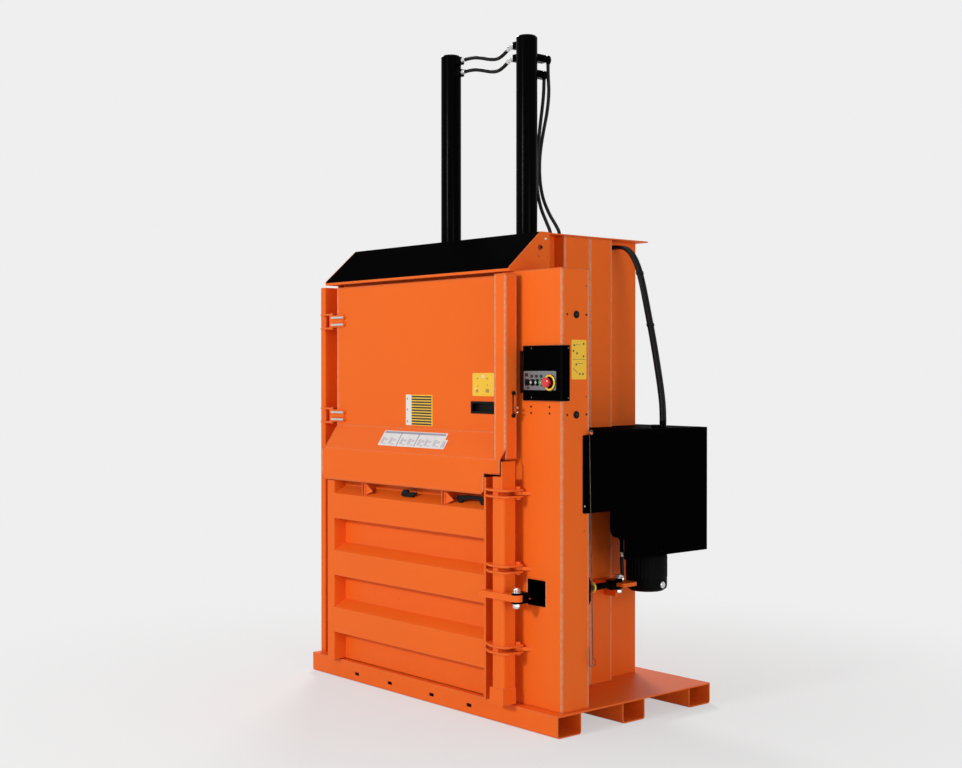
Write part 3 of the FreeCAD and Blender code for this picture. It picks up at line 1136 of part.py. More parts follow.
def strung(points, start, end):
    """Carry a drawn route's ends to their fittings and share the shift out between the inner points."""
    spread = len(points) - 3
    start_shift = [size(wanted) - drawn for wanted, drawn in zip(start, points[0])]
    end_shift = [size(wanted) - drawn for wanted, drawn in zip(end, points[-1])]
    carried = []
    for number, point in enumerate(points):
        share = min(max((number - 1) / spread, 0), 1)
        shifts = zip(point, start_shift, end_shift)
        carried.append(tuple(drawn + first * (1 - share) + last * share for drawn, first, last in shifts))
    return carried


def hose_routes():
    """Where every hose runs, from fitting to fitting."""
    wall = f"{CHAMBER_RIGHT} + wall_sheet"
    port_gap = "(press_barrel / 2 + port_reach)"
    rear_port = "(press_depth + press_barrel / 2)"
    elbow = f"{PRESS_CENTRE} + press_spread + port_block / 2 + elbow_reach"
    routes = {}
    for label, side in (("power_hose_front", "-"), ("power_hose_rear", "+")):
        depth = f"power_depth {side} (power_hose / 2 + 1)"
        start = (f"{wall} + power_ferrule", depth, "body_top - power_drop")
        end = (f"{UNIT_FACE} - power_inset", depth, "unit_top + cap_ferrule")
        routes[label] = strung(POWER_ROUTE, start, end)
    for label, level in (("cross_hose_upper", "port_upper"), ("cross_hose_lower", "port_lower")):
        start = (f"{PRESS_CENTRE} - press_spread + {port_gap} + cross_ferrule", "press_depth",
                 f"body_top + {level}")
        right_end = f"{PRESS_CENTRE} + press_spread - {port_gap} - elbow_run - 1.7 * cross_drop"
        end = (right_end, "press_depth", f"body_top + {level} - cross_drop")
        routes[label] = strung(CROSS_ROUTE, start, end)
    for label, drawn, level, setback, spread in (
        ("return_hose_outer", OUTER_ROUTE, RETURN_PORTS[0], "49", "123"),
        ("return_hose_inner", INNER_ROUTE, RETURN_PORTS[1], "23", "93"),
    ):
        start = (elbow, f"{rear_port} + {setback}", f"body_top + {level} - elbow_drop")
        end = (f"{PRESS_CENTRE} + press_spread + {spread}",
               f"{rear_port} + {setback} - (press_barrel - {setback}) / 13",
               DECK_TOP)
        routes[label] = strung(drawn, start, end)
    start = ("arm_x - 21", "lug_rear - 18", "unit_base - ram_fitting")
    end = ("arm_x - 18", "lug_rear - 18", "arm_level + lug_sheet / 2 + 22")
    routes["ram_hose"] = strung(RAM_ROUTE, start, end)
    return routes


def hoses():
    for label, points in ROUTES.items():
        thick = {"power": "power_hose", "cross": "cross_hose", "return": "return_hose",
                 "ram": "ram_hose"}[label.split("_")[0]]
        keep(tube(label.title().replace("_", ""), points, size(thick)), label)


def hose_fittings():
    """Ferrules that carry each hose end, and elbows on the right cylinder's side and rear ports."""
    pieces = []
    for label, level in (("cross_hose_upper", "port_upper"), ("cross_hose_lower", "port_lower")):
        left_port = f"{PRESS_CENTRE} - press_spread + press_barrel / 2 + port_reach"
        centre = ("press_depth", f"body_top + {level}")
        pieces.append(round_bar("Ferrule", "X", centre, (left_port, f"{left_port} + cross_ferrule"),
                                "cross_fitting"))
        x, depth, z = ROUTES[label][-1]
        port = size(f"{PRESS_CENTRE} + press_spread - press_barrel / 2 - port_reach")
        height = size(f"body_top + {level}")
        bend = [(x, depth, z), (port - size("elbow_run"), depth, height), (port, depth, height)]
        pieces.append(tube("CrossElbow", bend, size("cross_fitting")))
    port_face = size(f"{PRESS_CENTRE} + press_spread + port_block / 2")
    for label, level in zip(("return_hose_outer", "return_hose_inner"), RETURN_PORTS):
        x, depth, start = ROUTES[label][0]
        height = size(f"body_top + {level}")
        bend = [(x, depth, start), (x, depth, height), (port_face, depth, height)]
        pieces.append(tube("ReturnElbow", bend, size("elbow_fitting")))
    wall = f"{CHAMBER_RIGHT} + wall_sheet"
    for side in ("-", "+"):
        depth = f"power_depth {side} (power_hose / 2 + 1)"
        span = (wall, f"{wall} + power_ferrule")
        pieces.append(round_bar("Ferrule", "X", (depth, "body_top - power_drop"), span, "power_fitting"))
        span = ("unit_top", "unit_top + cap_ferrule")
        pieces.append(round_bar("Ferrule", "Z", (f"{UNIT_FACE} - power_inset", depth), span, "power_fitting"))
    lug_top = "arm_level + lug_sheet / 2"
    centre = ("arm_x - 21", "lug_rear - 18")
    pieces.append(round_bar("Ferrule", "Z", centre, ("unit_base - ram_fitting", "unit_base"), "ram_fitting"))
    centre = ("arm_x - 18", "lug_rear - 18")
    pieces.append(round_bar("Ferrule", "Z", centre, (lug_top, f"{lug_top} + 22"), "ram_fitting"))
    keep(group("HoseFittings", pieces), "hose_fittings")


def hose_ties():
    """Flat straps round the pair of power hoses, square to the run they hold."""
    half_base = size("base_depth") / 2
    run = ROUTES["power_hose_front"]
    front, rear = (ROUTES[label][0][1] - half_base for label in ("power_hose_front", "power_hose_rear"))
    ties = []
    for level in (size("tie_high"), size("tie_low")):
        upper, lower = next(pair for pair in zip(run, run[1:]) if pair[1][2] <= level)
        along = Vector(lower[0] - upper[0], 0, lower[2] - upper[2]).normalize()
        middle = Vector((upper[0] + lower[0]) / 2, 0, (upper[2] + lower[2]) / 2)
        start = middle - along * (size("tie_width") / 2)
        inner = size("power_hose") / 2 + size("seat_gap")
        layers = []
        for radius in (inner + size("tie_sheet"), inner):
            starts = (start + Vector(0, front, 0), start + Vector(0, rear, 0))
            ends = [Part.makeCylinder(radius, size("tie_width"), spot, along) for spot in starts]
            turn = Rotation(Vector(0, 0, 1), along)
            web = Part.makeBox(2 * radius, rear - front, size("tie_width"), Vector(-radius, 0, 0))
            web.Placement = Placement(start + Vector(0, front, 0), turn).multiply(web.Placement)
            layers.append(ends[0].fuse([ends[1], web]))
        ties.append(fixed("HoseTie", layers[0].cut(layers[1]).removeSplitter()))
    keep(group("HoseTies", ties), "hose_ties")


def threader():
    """A bent rod that hangs by its hook from a peg on the column's side."""
    x = size("column_side") + size("threader_out")
    turn = (size("peg_size") + size("threader_rod")) / 2 + size("seat_gap")
    peg_y = size("peg_depth") - size("base_depth") / 2
    peg_z = size("peg_level") - (size("peg_size") + size("threader_rod")) / 2
    bend = size("threader_bend") / 2
    foot = size("threader_foot") + bend
    down_y = peg_y + turn
    up_y = down_y + 2 * bend
    edges = [
        Part.LineSegment(Vector(x, peg_y - turn, peg_z - 12), Vector(x, peg_y - turn, peg_z)).toShape(),
        Part.Arc(Vector(x, peg_y - turn, peg_z), Vector(x, peg_y, peg_z + turn),
                 Vector(x, down_y, peg_z)).toShape(),
        Part.LineSegment(Vector(x, down_y, peg_z), Vector(x, down_y, foot)).toShape(),
        Part.Arc(Vector(x, down_y, foot), Vector(x, down_y + bend, foot - bend),
                 Vector(x, up_y, foot)).toShape(),
        Part.LineSegment(Vector(x, up_y, foot), Vector(x, up_y, foot + size("threader_leg"))).toShape(),
    ]
    path = Part.Wire(edges)
    ring = Part.Wire(Part.makeCircle(size("threader_rod") / 2, edges[0].Vertexes[0].Point, Vector(0, 0, 1)))
    keep(fixed("StrapThreader", path.makePipeShell([ring], True, True)), "strap_threader")


base()
chamber()
side_bays()
right_column()
left_column()
head()
press()
feed_door()
feed_hinges()
bale_door()
hinge_post()
strap_guides()
strap_hooks()
ram()
controls()
power_unit()
ROUTES = hose_routes()
hoses()
hose_fittings()
hose_ties()
threader()
doc.recompute()

for item in doc.Objects:
    if "Invalid" in item.State or "Error" in item.State:
        raise RuntimeError(f"{item.Label} did not build: {item.State}")
for piece in nodes:
    if piece.Shape.isNull() or not piece.Shape.isValid():
        raise RuntimeError(f"{piece.Label} is not a valid solid")

os.makedirs("parts", exist_ok=True)
for piece in nodes:
    piece.Shape.exportStep(f"parts/{piece.Label}.step")
print(f"{len(nodes)} sub-parts, {sum(len(piece.Shape.Solids) for piece in nodes)} solids")
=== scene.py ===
"""Looks of the recycling baler, built round its fixed frame."""

import math

import bmesh
import bpy
from mathutils import Matrix, Vector


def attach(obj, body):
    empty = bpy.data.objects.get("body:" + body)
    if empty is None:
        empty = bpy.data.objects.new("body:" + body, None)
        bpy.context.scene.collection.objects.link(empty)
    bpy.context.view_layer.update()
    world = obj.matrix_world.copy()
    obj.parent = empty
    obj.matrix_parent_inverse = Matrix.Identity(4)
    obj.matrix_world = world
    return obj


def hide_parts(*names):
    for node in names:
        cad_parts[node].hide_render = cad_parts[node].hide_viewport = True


bl_info = {
    "name": "Recycling baler",
    "version": (1, 0, 0),
    "blender": (4, 5, 0),
    "location": "View3D > Sidebar > Baler",
    "description": "Dresses the frame of an upright recycling baler with paint, hoses, controls and fasteners",
    "category": "Object",
}

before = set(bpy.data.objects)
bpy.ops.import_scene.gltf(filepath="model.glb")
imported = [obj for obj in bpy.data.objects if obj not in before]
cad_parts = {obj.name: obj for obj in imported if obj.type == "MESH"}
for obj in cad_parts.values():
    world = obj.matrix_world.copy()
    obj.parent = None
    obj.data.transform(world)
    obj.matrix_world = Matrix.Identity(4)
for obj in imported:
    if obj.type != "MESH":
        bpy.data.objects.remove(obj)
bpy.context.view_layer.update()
HALF_DEPTH = 472.5

# millimetres read off the part
COLUMN_SIDE = 846
COVER_SIDE = 849
PANEL_FACE = 36
DOOR_FACE = 30
BUTTON_ROW = 1431
LOCK_LEVELS = (1708, 1300)
RAM_X, RAM_LEVEL = 685, 551.5
MOTOR_TOP = (700, 710, 684)
FILM, PRINT = 0.6, 0.3


# ---------------------------------------------------------------- measures
def at(x, depth, z):
    """A point in metres from millimetres; depth is set back from the base's front face."""
    return Vector((x, depth - HALF_DEPTH, z)) / 1000


def turned_to(axis):
    """Rotation that takes +Z to an axis name or a direction."""
    if isinstance(axis, str):
        sign = -1 if axis[0] == "-" else 1
        axis = [sign * (letter == axis[-1]) for letter in "XYZ"]
    return Vector((0, 0, 1)).rotation_difference(Vector(axis).normalized()).to_matrix().to_4x4()


# turns that stand a flat plate up, facing the front or the right side
FACING_FRONT = Matrix(((1, 0, 0, 0), (0, 0, 1, 0), (0, 1, 0, 0), (0, 0, 0, 1)))
FACING_SIDE = Matrix(((0, 0, 1, 0), (1, 0, 0, 0), (0, 1, 0, 0), (0, 0, 0, 1)))


# ---------------------------------------------------------------- shared shader groups
def new_group(name, inputs, outputs):
    """An empty shader group with named float, colour or vector sockets."""
    tree = bpy.data.node_groups.new(name, "ShaderNodeTree")
    for label, kind, default in inputs:
        socket = tree.interface.new_socket(name=label, in_out="INPUT", socket_type=f"NodeSocket{kind}")
        if default is not None:
            socket.default_value = default
    for label, kind in outputs:
        tree.interface.new_socket(name=label, in_out="OUTPUT", socket_type=f"NodeSocket{kind}")
    return tree, tree.nodes.new("NodeGroupInput"), tree.nodes.new("NodeGroupOutput")


def wire(tree, start, end):
    tree.links.new(start, end)


def node(tree, kind, *feeds, **settings):
    """A shader node whose first inputs take the feeds, which are sockets or plain values."""
    made = tree.nodes.new(f"ShaderNode{kind}")
    for key, value in settings.items():
        setattr(made, key, value)
    for socket, feed in zip(made.inputs, feeds):
        if isinstance(feed, bpy.types.NodeSocket):
            wire(tree, feed, socket)
        else:
            socket.default_value = feed
    return made


def noise(tree, place, scale, detail):
    """Noise over a vector; the socket between vector and scale only serves four dimensions."""
    return node(tree, "TexNoise", place, 0.0, scale, detail).outputs["Fac"]


def fold_highlight_group():
    """Where a sheet is folded or cut, a thin band gets a paler colour as a painted highlight, broken up by noise, and
    a rounded normal.
    """
    tree, given, result = new_group(
        "fold_edges",
        [("Radius", "Float", 0.002), ("Sharpness", "Float", 6.0), ("Break up", "Float", 60.0),
         ("Level edges", "Float", 1.0)],
        [("Mask", "Float"), ("Normal", "Vector")],
    )
    rounded = node(tree, "Bevel", given.outputs["Radius"], samples=6).outputs[0]
    flat = node(tree, "NewGeometry").outputs["Normal"]
    agree = node(tree, "VectorMath", rounded, flat, operation="DOT_PRODUCT").outputs["Value"]
    apart = node(tree, "Math", 1.0, agree, operation="SUBTRACT").outputs[0]
    stronger = node(tree, "Math", apart, given.outputs["Sharpness"], operation="MULTIPLY", use_clamp=True)
    place = node(tree, "TexCoord").outputs["Object"]
    spread = node(tree, "MapRange", noise(tree, place, given.outputs["Break up"], 3), 0.3, 0.6, 0.45)
    broken = node(tree, "Math", stronger.outputs[0], spread.outputs[0], operation="MULTIPLY")
    # an edge whose rounded normal leaves the level keeps only the share of the painted highlight given by Level edges
    upward = node(tree, "SeparateXYZ", rounded).outputs["Z"]
    tilt = node(tree, "Math", upward, operation="ABSOLUTE").outputs[0]
    level = node(tree, "MapRange", tilt, 0.02, 0.2, 1.0, given.outputs["Level edges"])
    kept = node(tree, "Math", broken.outputs[0], level.outputs[0], operation="MULTIPLY")
    wire(tree, kept.outputs[0], result.inputs["Mask"])
    wire(tree, rounded, result.inputs["Normal"])
    return tree


def skin_group():
    """Slow drift of tone and a fine surface height, both on object coordinates."""
    tree, given, result = new_group(
        "coat_skin",
        [("Drift scale", "Float", 1.2), ("Grain scale", "Float", 900.0)],
        [("Drift", "Float"), ("Height", "Float")],
    )
    place = node(tree, "TexCoord").outputs["Object"]
    for scale, output, detail in (("Drift scale", "Drift", 2), ("Grain scale", "Height", 1)):
        wire(tree, noise(tree, place, given.outputs[scale], detail), result.inputs[output])
    return tree


def drawn_group():
    """Fine lines that run along one axis, as on drawn or ground steel."""
    tree, given, result = new_group("drawn_lines", [("Scale", "Vector", (30, 30, 900))], [("Line", "Float")])
    place = node(tree, "TexCoord").outputs["Object"]
    stretch = node(tree, "VectorMath", place, given.outputs["Scale"], operation="MULTIPLY").outputs[0]
    wire(tree, noise(tree, stretch, 1, 3), result.inputs["Line"])
    return tree


GROUPS = {}
FINISHES = {}


def group_node(tree, name, **values):
    made = tree.nodes.new("ShaderNodeGroup")
    made.node_tree = GROUPS[name]
    for label, value in values.items():
        made.inputs[label.replace("_", " ")].default_value = value
    return made


def tint(tree, factor, first, second):
    """Blend two colours by a mask; either may be a socket."""
    mix = tree.nodes.new("ShaderNodeMix")
    mix.data_type = "RGBA"
    wire(tree, factor, mix.inputs["Factor"])
    for colour, socket in ((first, mix.inputs["A"]), (second, mix.inputs["B"])):
        if isinstance(colour, bpy.types.NodeSocket):
            wire(tree, colour, socket)
        else:
            socket.default_value = (*colour, 1)
    return mix.outputs["Result"]


def coat(name, colour, deep, edge, roughness, *, radius=0.002, sharpness=6.0, grain=900.0, bump=0.03, specular=0.5,
         coat_weight=0.0, metallic=0.0, lines=None, level_edges=1.0):
    """A finish with drifting tone, a paler colour painted along folds as a highlight, a fine skin and an uneven gloss.
    """
    material = bpy.data.materials.new(name)
    material.use_nodes = True
    tree = material.node_tree
    shader = tree.nodes["Principled BSDF"]
    shader.inputs["Metallic"].default_value = metallic
    shader.inputs["Specular IOR Level"].default_value = specular
    shader.inputs["Coat Weight"].default_value = coat_weight
    shader.inputs["Coat Roughness"].default_value = 0.12
    edges = group_node(tree, "fold_edges", Radius=radius, Sharpness=sharpness, Level_edges=level_edges)
    skin = group_node(tree, "coat_skin", Grain_scale=grain)
    base = tint(tree, skin.outputs["Drift"], deep, colour)
    height = skin.outputs["Height"]
    if lines:
        drawn = group_node(tree, "drawn_lines", Scale=lines)
        base = tint(tree, drawn.outputs["Line"], base, colour)
        height = drawn.outputs["Line"]
    # painted highlight: the edge colour is laid over the base along folds and cut edges
    wire(tree, tint(tree, edges.outputs["Mask"], base, edge), shader.inputs["Base Color"])
    gloss = node(tree, "MapRange", skin.outputs["Drift"], 0.0, 1.0, roughness * 0.85, roughness * 1.2)
    wire(tree, gloss.outputs[0], shader.inputs["Roughness"])
    surface = node(tree, "Bump")
    surface.inputs["Strength"].default_value = bump
    surface.inputs["Distance"].default_value = 0.001
    wire(tree, height, surface.inputs["Height"])
    wire(tree, edges.outputs["Normal"], surface.inputs["Normal"])
    wire(tree, surface.outputs[0], shader.inputs["Normal"])
    FINISHES[name] = material


# ---------------------------------------------------------------- mesh helpers
def made_since(bm, before):
    """The vertices that were added since a set of them was taken."""
    return [vert for vert in bm.verts if vert not in before]


def only(kind, geometry):
    return [item for item in geometry if isinstance(item, kind)]


def edges_of(verts):
    return list({edge for vert in verts for edge in vert.link_edges})


def climb(edge):
    """How far an edge rises."""
    return abs(edge.verts[0].co.z - edge.verts[1].co.z)


def soften(bm, edges, offset, segments, **options):
    """Bevel edges by an offset in millimetres."""
    bmesh.ops.bevel(bm, geom=edges, offset=offset / 1000, segments=segments, profile=0.5, affect="EDGES",
                    offset_type="OFFSET", material=-1, **options)


def finish(name, bm, body, finish_name, sharp=35, stands_for=()):
    """Turn a worked bmesh into a named piece that rides on a body."""
    bmesh.ops.remove_doubles(bm, verts=bm.verts, dist=1e-6)
    bmesh.ops.recalc_face_normals(bm, faces=bm.faces)
    mesh = bpy.data.meshes.new(name)
    bm.to_mesh(mesh)
    bm.free()
    mesh.shade_smooth()
    mesh.set_sharp_from_angle(angle=math.radians(sharp))
    obj = bpy.data.objects.new(name, mesh)
    bpy.context.scene.collection.objects.link(obj)
    mesh.materials.append(FINISHES[finish_name])
    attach(obj, body)
    if stands_for:
        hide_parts(*stands_for)
    return obj


def lathe(bm, profile, origin, axis="Z", steps=32):
    """Spin (radius, distance) pairs in millimetres round an axis through a point."""
    before = set(bm.verts)
    line = [bm.verts.new((radius / 1000, 0, along / 1000)) for radius, along in profile]
    edges = [bm.edges.new(pair) for pair in zip(line, line[1:])]
    bmesh.ops.spin(bm, geom=line + edges, cent=(0, 0, 0), axis=(0, 0, 1), angle=math.tau, steps=steps, use_merge=True)
    bmesh.ops.remove_doubles(bm, verts=made_since(bm, before), dist=1e-6)
    fresh = made_since(bm, before)
    bmesh.ops.transform(bm, matrix=Matrix.Translation(origin) @ turned_to(axis), verts=fresh)
    return fresh


def slab(bm, low, high, edge, segments=2):
    """A box between two corners in metres with softened edges."""
    before = set(bm.verts)
    low, high = Vector(low), Vector(high)
    matrix = Matrix.Translation((low + high) / 2) @ Matrix.Diagonal((*(high - low), 1))
    bmesh.ops.create_cube(bm, size=1, matrix=matrix)
    soften(bm, edges_of(made_since(bm, before)), edge, segments, clamp_overlap=True)
    return made_since(bm, before)


def hexagon(bm, origin, axis, across, height, washer=0.0):
    """A chamfered hexagon head with an optional washer under it, in millimetres."""
    before = set(bm.verts)
    radius = across / 2000
    bmesh.ops.create_cone(bm, cap_ends=True, segments=6, radius1=radius, radius2=radius, depth=height / 1000)
    rims = [edge for edge in edges_of(made_since(bm, before)) if climb(edge) < 1e-6]
    soften(bm, rims, 1.2, 2)
    lift = Matrix.Translation((0, 0, (washer + height / 2) / 1000))
    bmesh.ops.transform(bm, matrix=Matrix.Translation(origin) @ turned_to(axis) @ lift, verts=made_since(bm, before))
    if washer:
        ring = across * 0.62
        lathe(bm, [(0, 0), (ring - 0.6, 0), (ring, 0.6), (ring, washer - 0.4), (ring - 0.6, washer), (0, washer)],
              origin, axis, 24)


def rounded_plate(bm, corner, width, height, thick, radius, axis):
    """A plate with rounded corners: corner is its lowest corner in metres, on the plane across the axis."""
    before = set(bm.verts)
    bmesh.ops.create_cube(bm, size=1, matrix=Matrix.Diagonal((width / 1000, height / 1000, thick / 1000, 1)))
    corners = [edge for edge in edges_of(made_since(bm, before)) if climb(edge) > thick / 2000]
    soften(bm, corners, radius, 5)
    turn, middle = {
        "-Y": (FACING_FRONT, (width / 2, -thick / 2, height / 2)),
        "X": (FACING_SIDE, (thick / 2, width / 2, height / 2)),
    }[axis]
    place = Matrix.Translation(Vector(corner) + Vector(middle) / 1000)
    bmesh.ops.transform(bm, matrix=place @ turn, verts=made_since(bm, before))


def dome(bm, origin, axis, radius, height, steps=14):
    """A low domed head."""
    profile = [(radius, 0), (radius * 0.98, height * 0.35), (radius * 0.8, height * 0.75),
               (radius * 0.45, height * 0.95), (0, height)]
    return lathe(bm, profile, origin, axis, steps)


def cut_plate(bm, outline, thick, place, corners=(), radius=0.0):
    """A plate of a millimetre outline, with some of its corners rounded, set by a matrix."""
    before = set(bm.verts)
    ring = [bm.verts.new((across / 1000, up / 1000, 0)) for across, up in outline]
    drawn = bmesh.ops.extrude_face_region(bm, geom=[bm.faces.new(ring)])["geom"]
    bmesh.ops.translate(bm, vec=(0, 0, thick / 1000), verts=only(bmesh.types.BMVert, drawn))
    if corners:
        spots = [ring[number] for number in corners]
        soften(bm, [edge for edge in edges_of(spots) if climb(edge) > 1e-6], radius, 8)
    bmesh.ops.transform(bm, matrix=place, verts=made_since(bm, before))


def across_x(x):
    """Sets an outline of (depth, z) on a plane across X, its thickness growing towards +X."""
    return Matrix.Translation(at(x, 0, 0)) @ FACING_SIDE


def across_depth(depth):
    """Sets an outline of (x, z) on a plane across the depth, its thickness growing towards the front."""
    return Matrix.Translation(at(0, depth, 0)) @ Matrix.Rotation(math.pi / 2, 4, "X")


def bent_tube(bm, start, corner, end, radius, bend, steps=8):
    """A round tube in metres with one bend, closed at both ends."""
    first, last = (corner - start).normalized(), (end - corner).normalized()
    angle = first.angle(last)
    turn = first.cross(last).normalized()
    reach = bend * math.tan(angle / 2)
    before = corner - first * reach
    ring = bmesh.ops.create_circle(bm, cap_ends=True, segments=20, radius=radius,
                                   matrix=Matrix.Translation(start) @ turned_to(first))["verts"]
    drawn = bmesh.ops.extrude_edge_only(bm, edges=edges_of(ring))["geom"]
    bmesh.ops.translate(bm, vec=before - start, verts=only(bmesh.types.BMVert, drawn))
    arc = bmesh.ops.spin(bm, geom=drawn, cent=before + turn.cross(first) * bend, axis=turn, angle=angle,
                         steps=steps)["geom_last"]
    drawn = bmesh.ops.extrude_edge_only(bm, edges=only(bmesh.types.BMEdge, arc))["geom"]
    bmesh.ops.translate(bm, vec=end - (corner + last * reach), verts=only(bmesh.types.BMVert, drawn))
    bmesh.ops.holes_fill(bm, edges=only(bmesh.types.BMEdge, drawn), sides=0)


# ---------------------------------------------------------------- settings
class BalerColours(bpy.types.PropertyGroup):
    paint: bpy.props.FloatVectorProperty(
        name="Paint", description="Colour of the painted sheet", subtype="COLOR", size=3, default=(0.88, 0.15, 0.014))
    paint_deep: bpy.props.FloatVectorProperty(
        name="Deep paint", description="Darker drift of the paint", subtype="COLOR", size=3,
        default=(0.82, 0.13, 0.011))
    # pale colour painted along the folds as a highlight
    paint_fold_highlight: bpy.props.FloatVectorProperty(
        name="Painted fold highlight", description="Pale highlight painted along folded edges", subtype="COLOR", size=3,
        default=(0.78, 0.5, 0.34))
    black: bpy.props.FloatVectorProperty(
        name="Black", description="Colour of the black covers and cylinders", subtype="COLOR", size=3,
        default=(0.0012, 0.0011, 0.0013))
    yellow: bpy.props.FloatVectorProperty(
        name="Yellow", description="Colour of the yellow fields and the stop ring", subtype="COLOR", size=3,
        default=(0.9, 0.55, 0.03))


class BalerHoses(bpy.types.PropertyGroup):
    power: bpy.props.FloatProperty(
        name="Power hose", description="Outside diameter of the two hoses from the body to the power unit",
        default=0.017, unit="LENGTH")
    cross: bpy.props.FloatProperty(
        name="Cross hose", description="Outside diameter of the hoses between the cylinders", default=0.017,
        unit="LENGTH")
    back: bpy.props.FloatProperty(
        name="Return hose", description="Outside diameter of the hoses behind the right cylinder", default=0.016,
        unit="LENGTH")


class BalerStage(bpy.types.PropertyGroup):
    lens: bpy.props.FloatProperty(
        name="Lens", description="Focal length of the camera in millimetres", default=52.05)
    eye: bpy.props.FloatVectorProperty(
        name="Eye", description="Where the camera stands", subtype="TRANSLATION", unit="LENGTH", size=3,
        default=(4.8594, -4.3577, 1.4744))
    yaw: bpy.props.FloatProperty(
        name="Yaw", description="Turn of the camera from straight back", default=math.radians(48.946), unit="ROTATION")
    pitch: bpy.props.FloatProperty(
        name="Pitch", description="Tilt of the camera above level", default=math.radians(-0.4977), unit="ROTATION")


# ---------------------------------------------------------------- finishes
ORANGE_NODES = (
    "floor_plate", "front_runner", "rear_runners", "chamber_walls", "chamber_floor", "left_side_bays",
    "right_side_bays", "right_column_front", "right_column_side", "left_column", "hinge_tongues", "hood_frame",
    "top_plates", "crosshead_beams", "press_platen", "feed_door", "feed_hinge_knuckles", "feed_hinge_brackets",
    "bale_door_sheet", "bale_door_inner_plate", "bale_door_edges", "bale_door_post", "door_arm", "strap_guides",
    "ram_lug",
)
# pieces whose main vertical folds get a wider, stronger painted highlight
FOLD_HIGHLIGHT_NODES = ("right_column_front", "right_column_side", "feed_door", "right_side_bays")
OTHER_NODES = {
    "hood": "black_cover", "press_cylinders": "black_gloss", "piston_rods": "hard_chrome",
    "feed_door_handle": "black_plastic",
    "feed_hinge_bars": "bright_steel", "feed_latches": "black_plastic", "bale_door_hinge_bolts": "orange_paint",
    "ram_rod": "hard_chrome", "ram_guard": "black_cover", "ram_fork": "black_gloss", "ram_barrel": "black_gloss",
    "control_panel": "panel_black", "power_unit_cover": "black_cover", "oil_tank": "tank_grey",
    "hydraulic_pump": "cast_metal", "pump_motor": "cast_metal", "unit_breather": "black_gloss",
    "hose_ties": "black_plastic", "strap_threader": "drawn_wire", "hose_fittings": "bright_steel",
    "cover_lock_upper": "black_plastic", "cover_lock_lower": "black_plastic", "start_button": "green_plastic",
    "hold_button": "white_plastic", "raise_button": "blue_plastic", "e_stop_button": "red_plastic",
    "key_selector": "black_plastic", "ram_hose": "hose_rubber", "strap_hooks": "black_plastic",
}


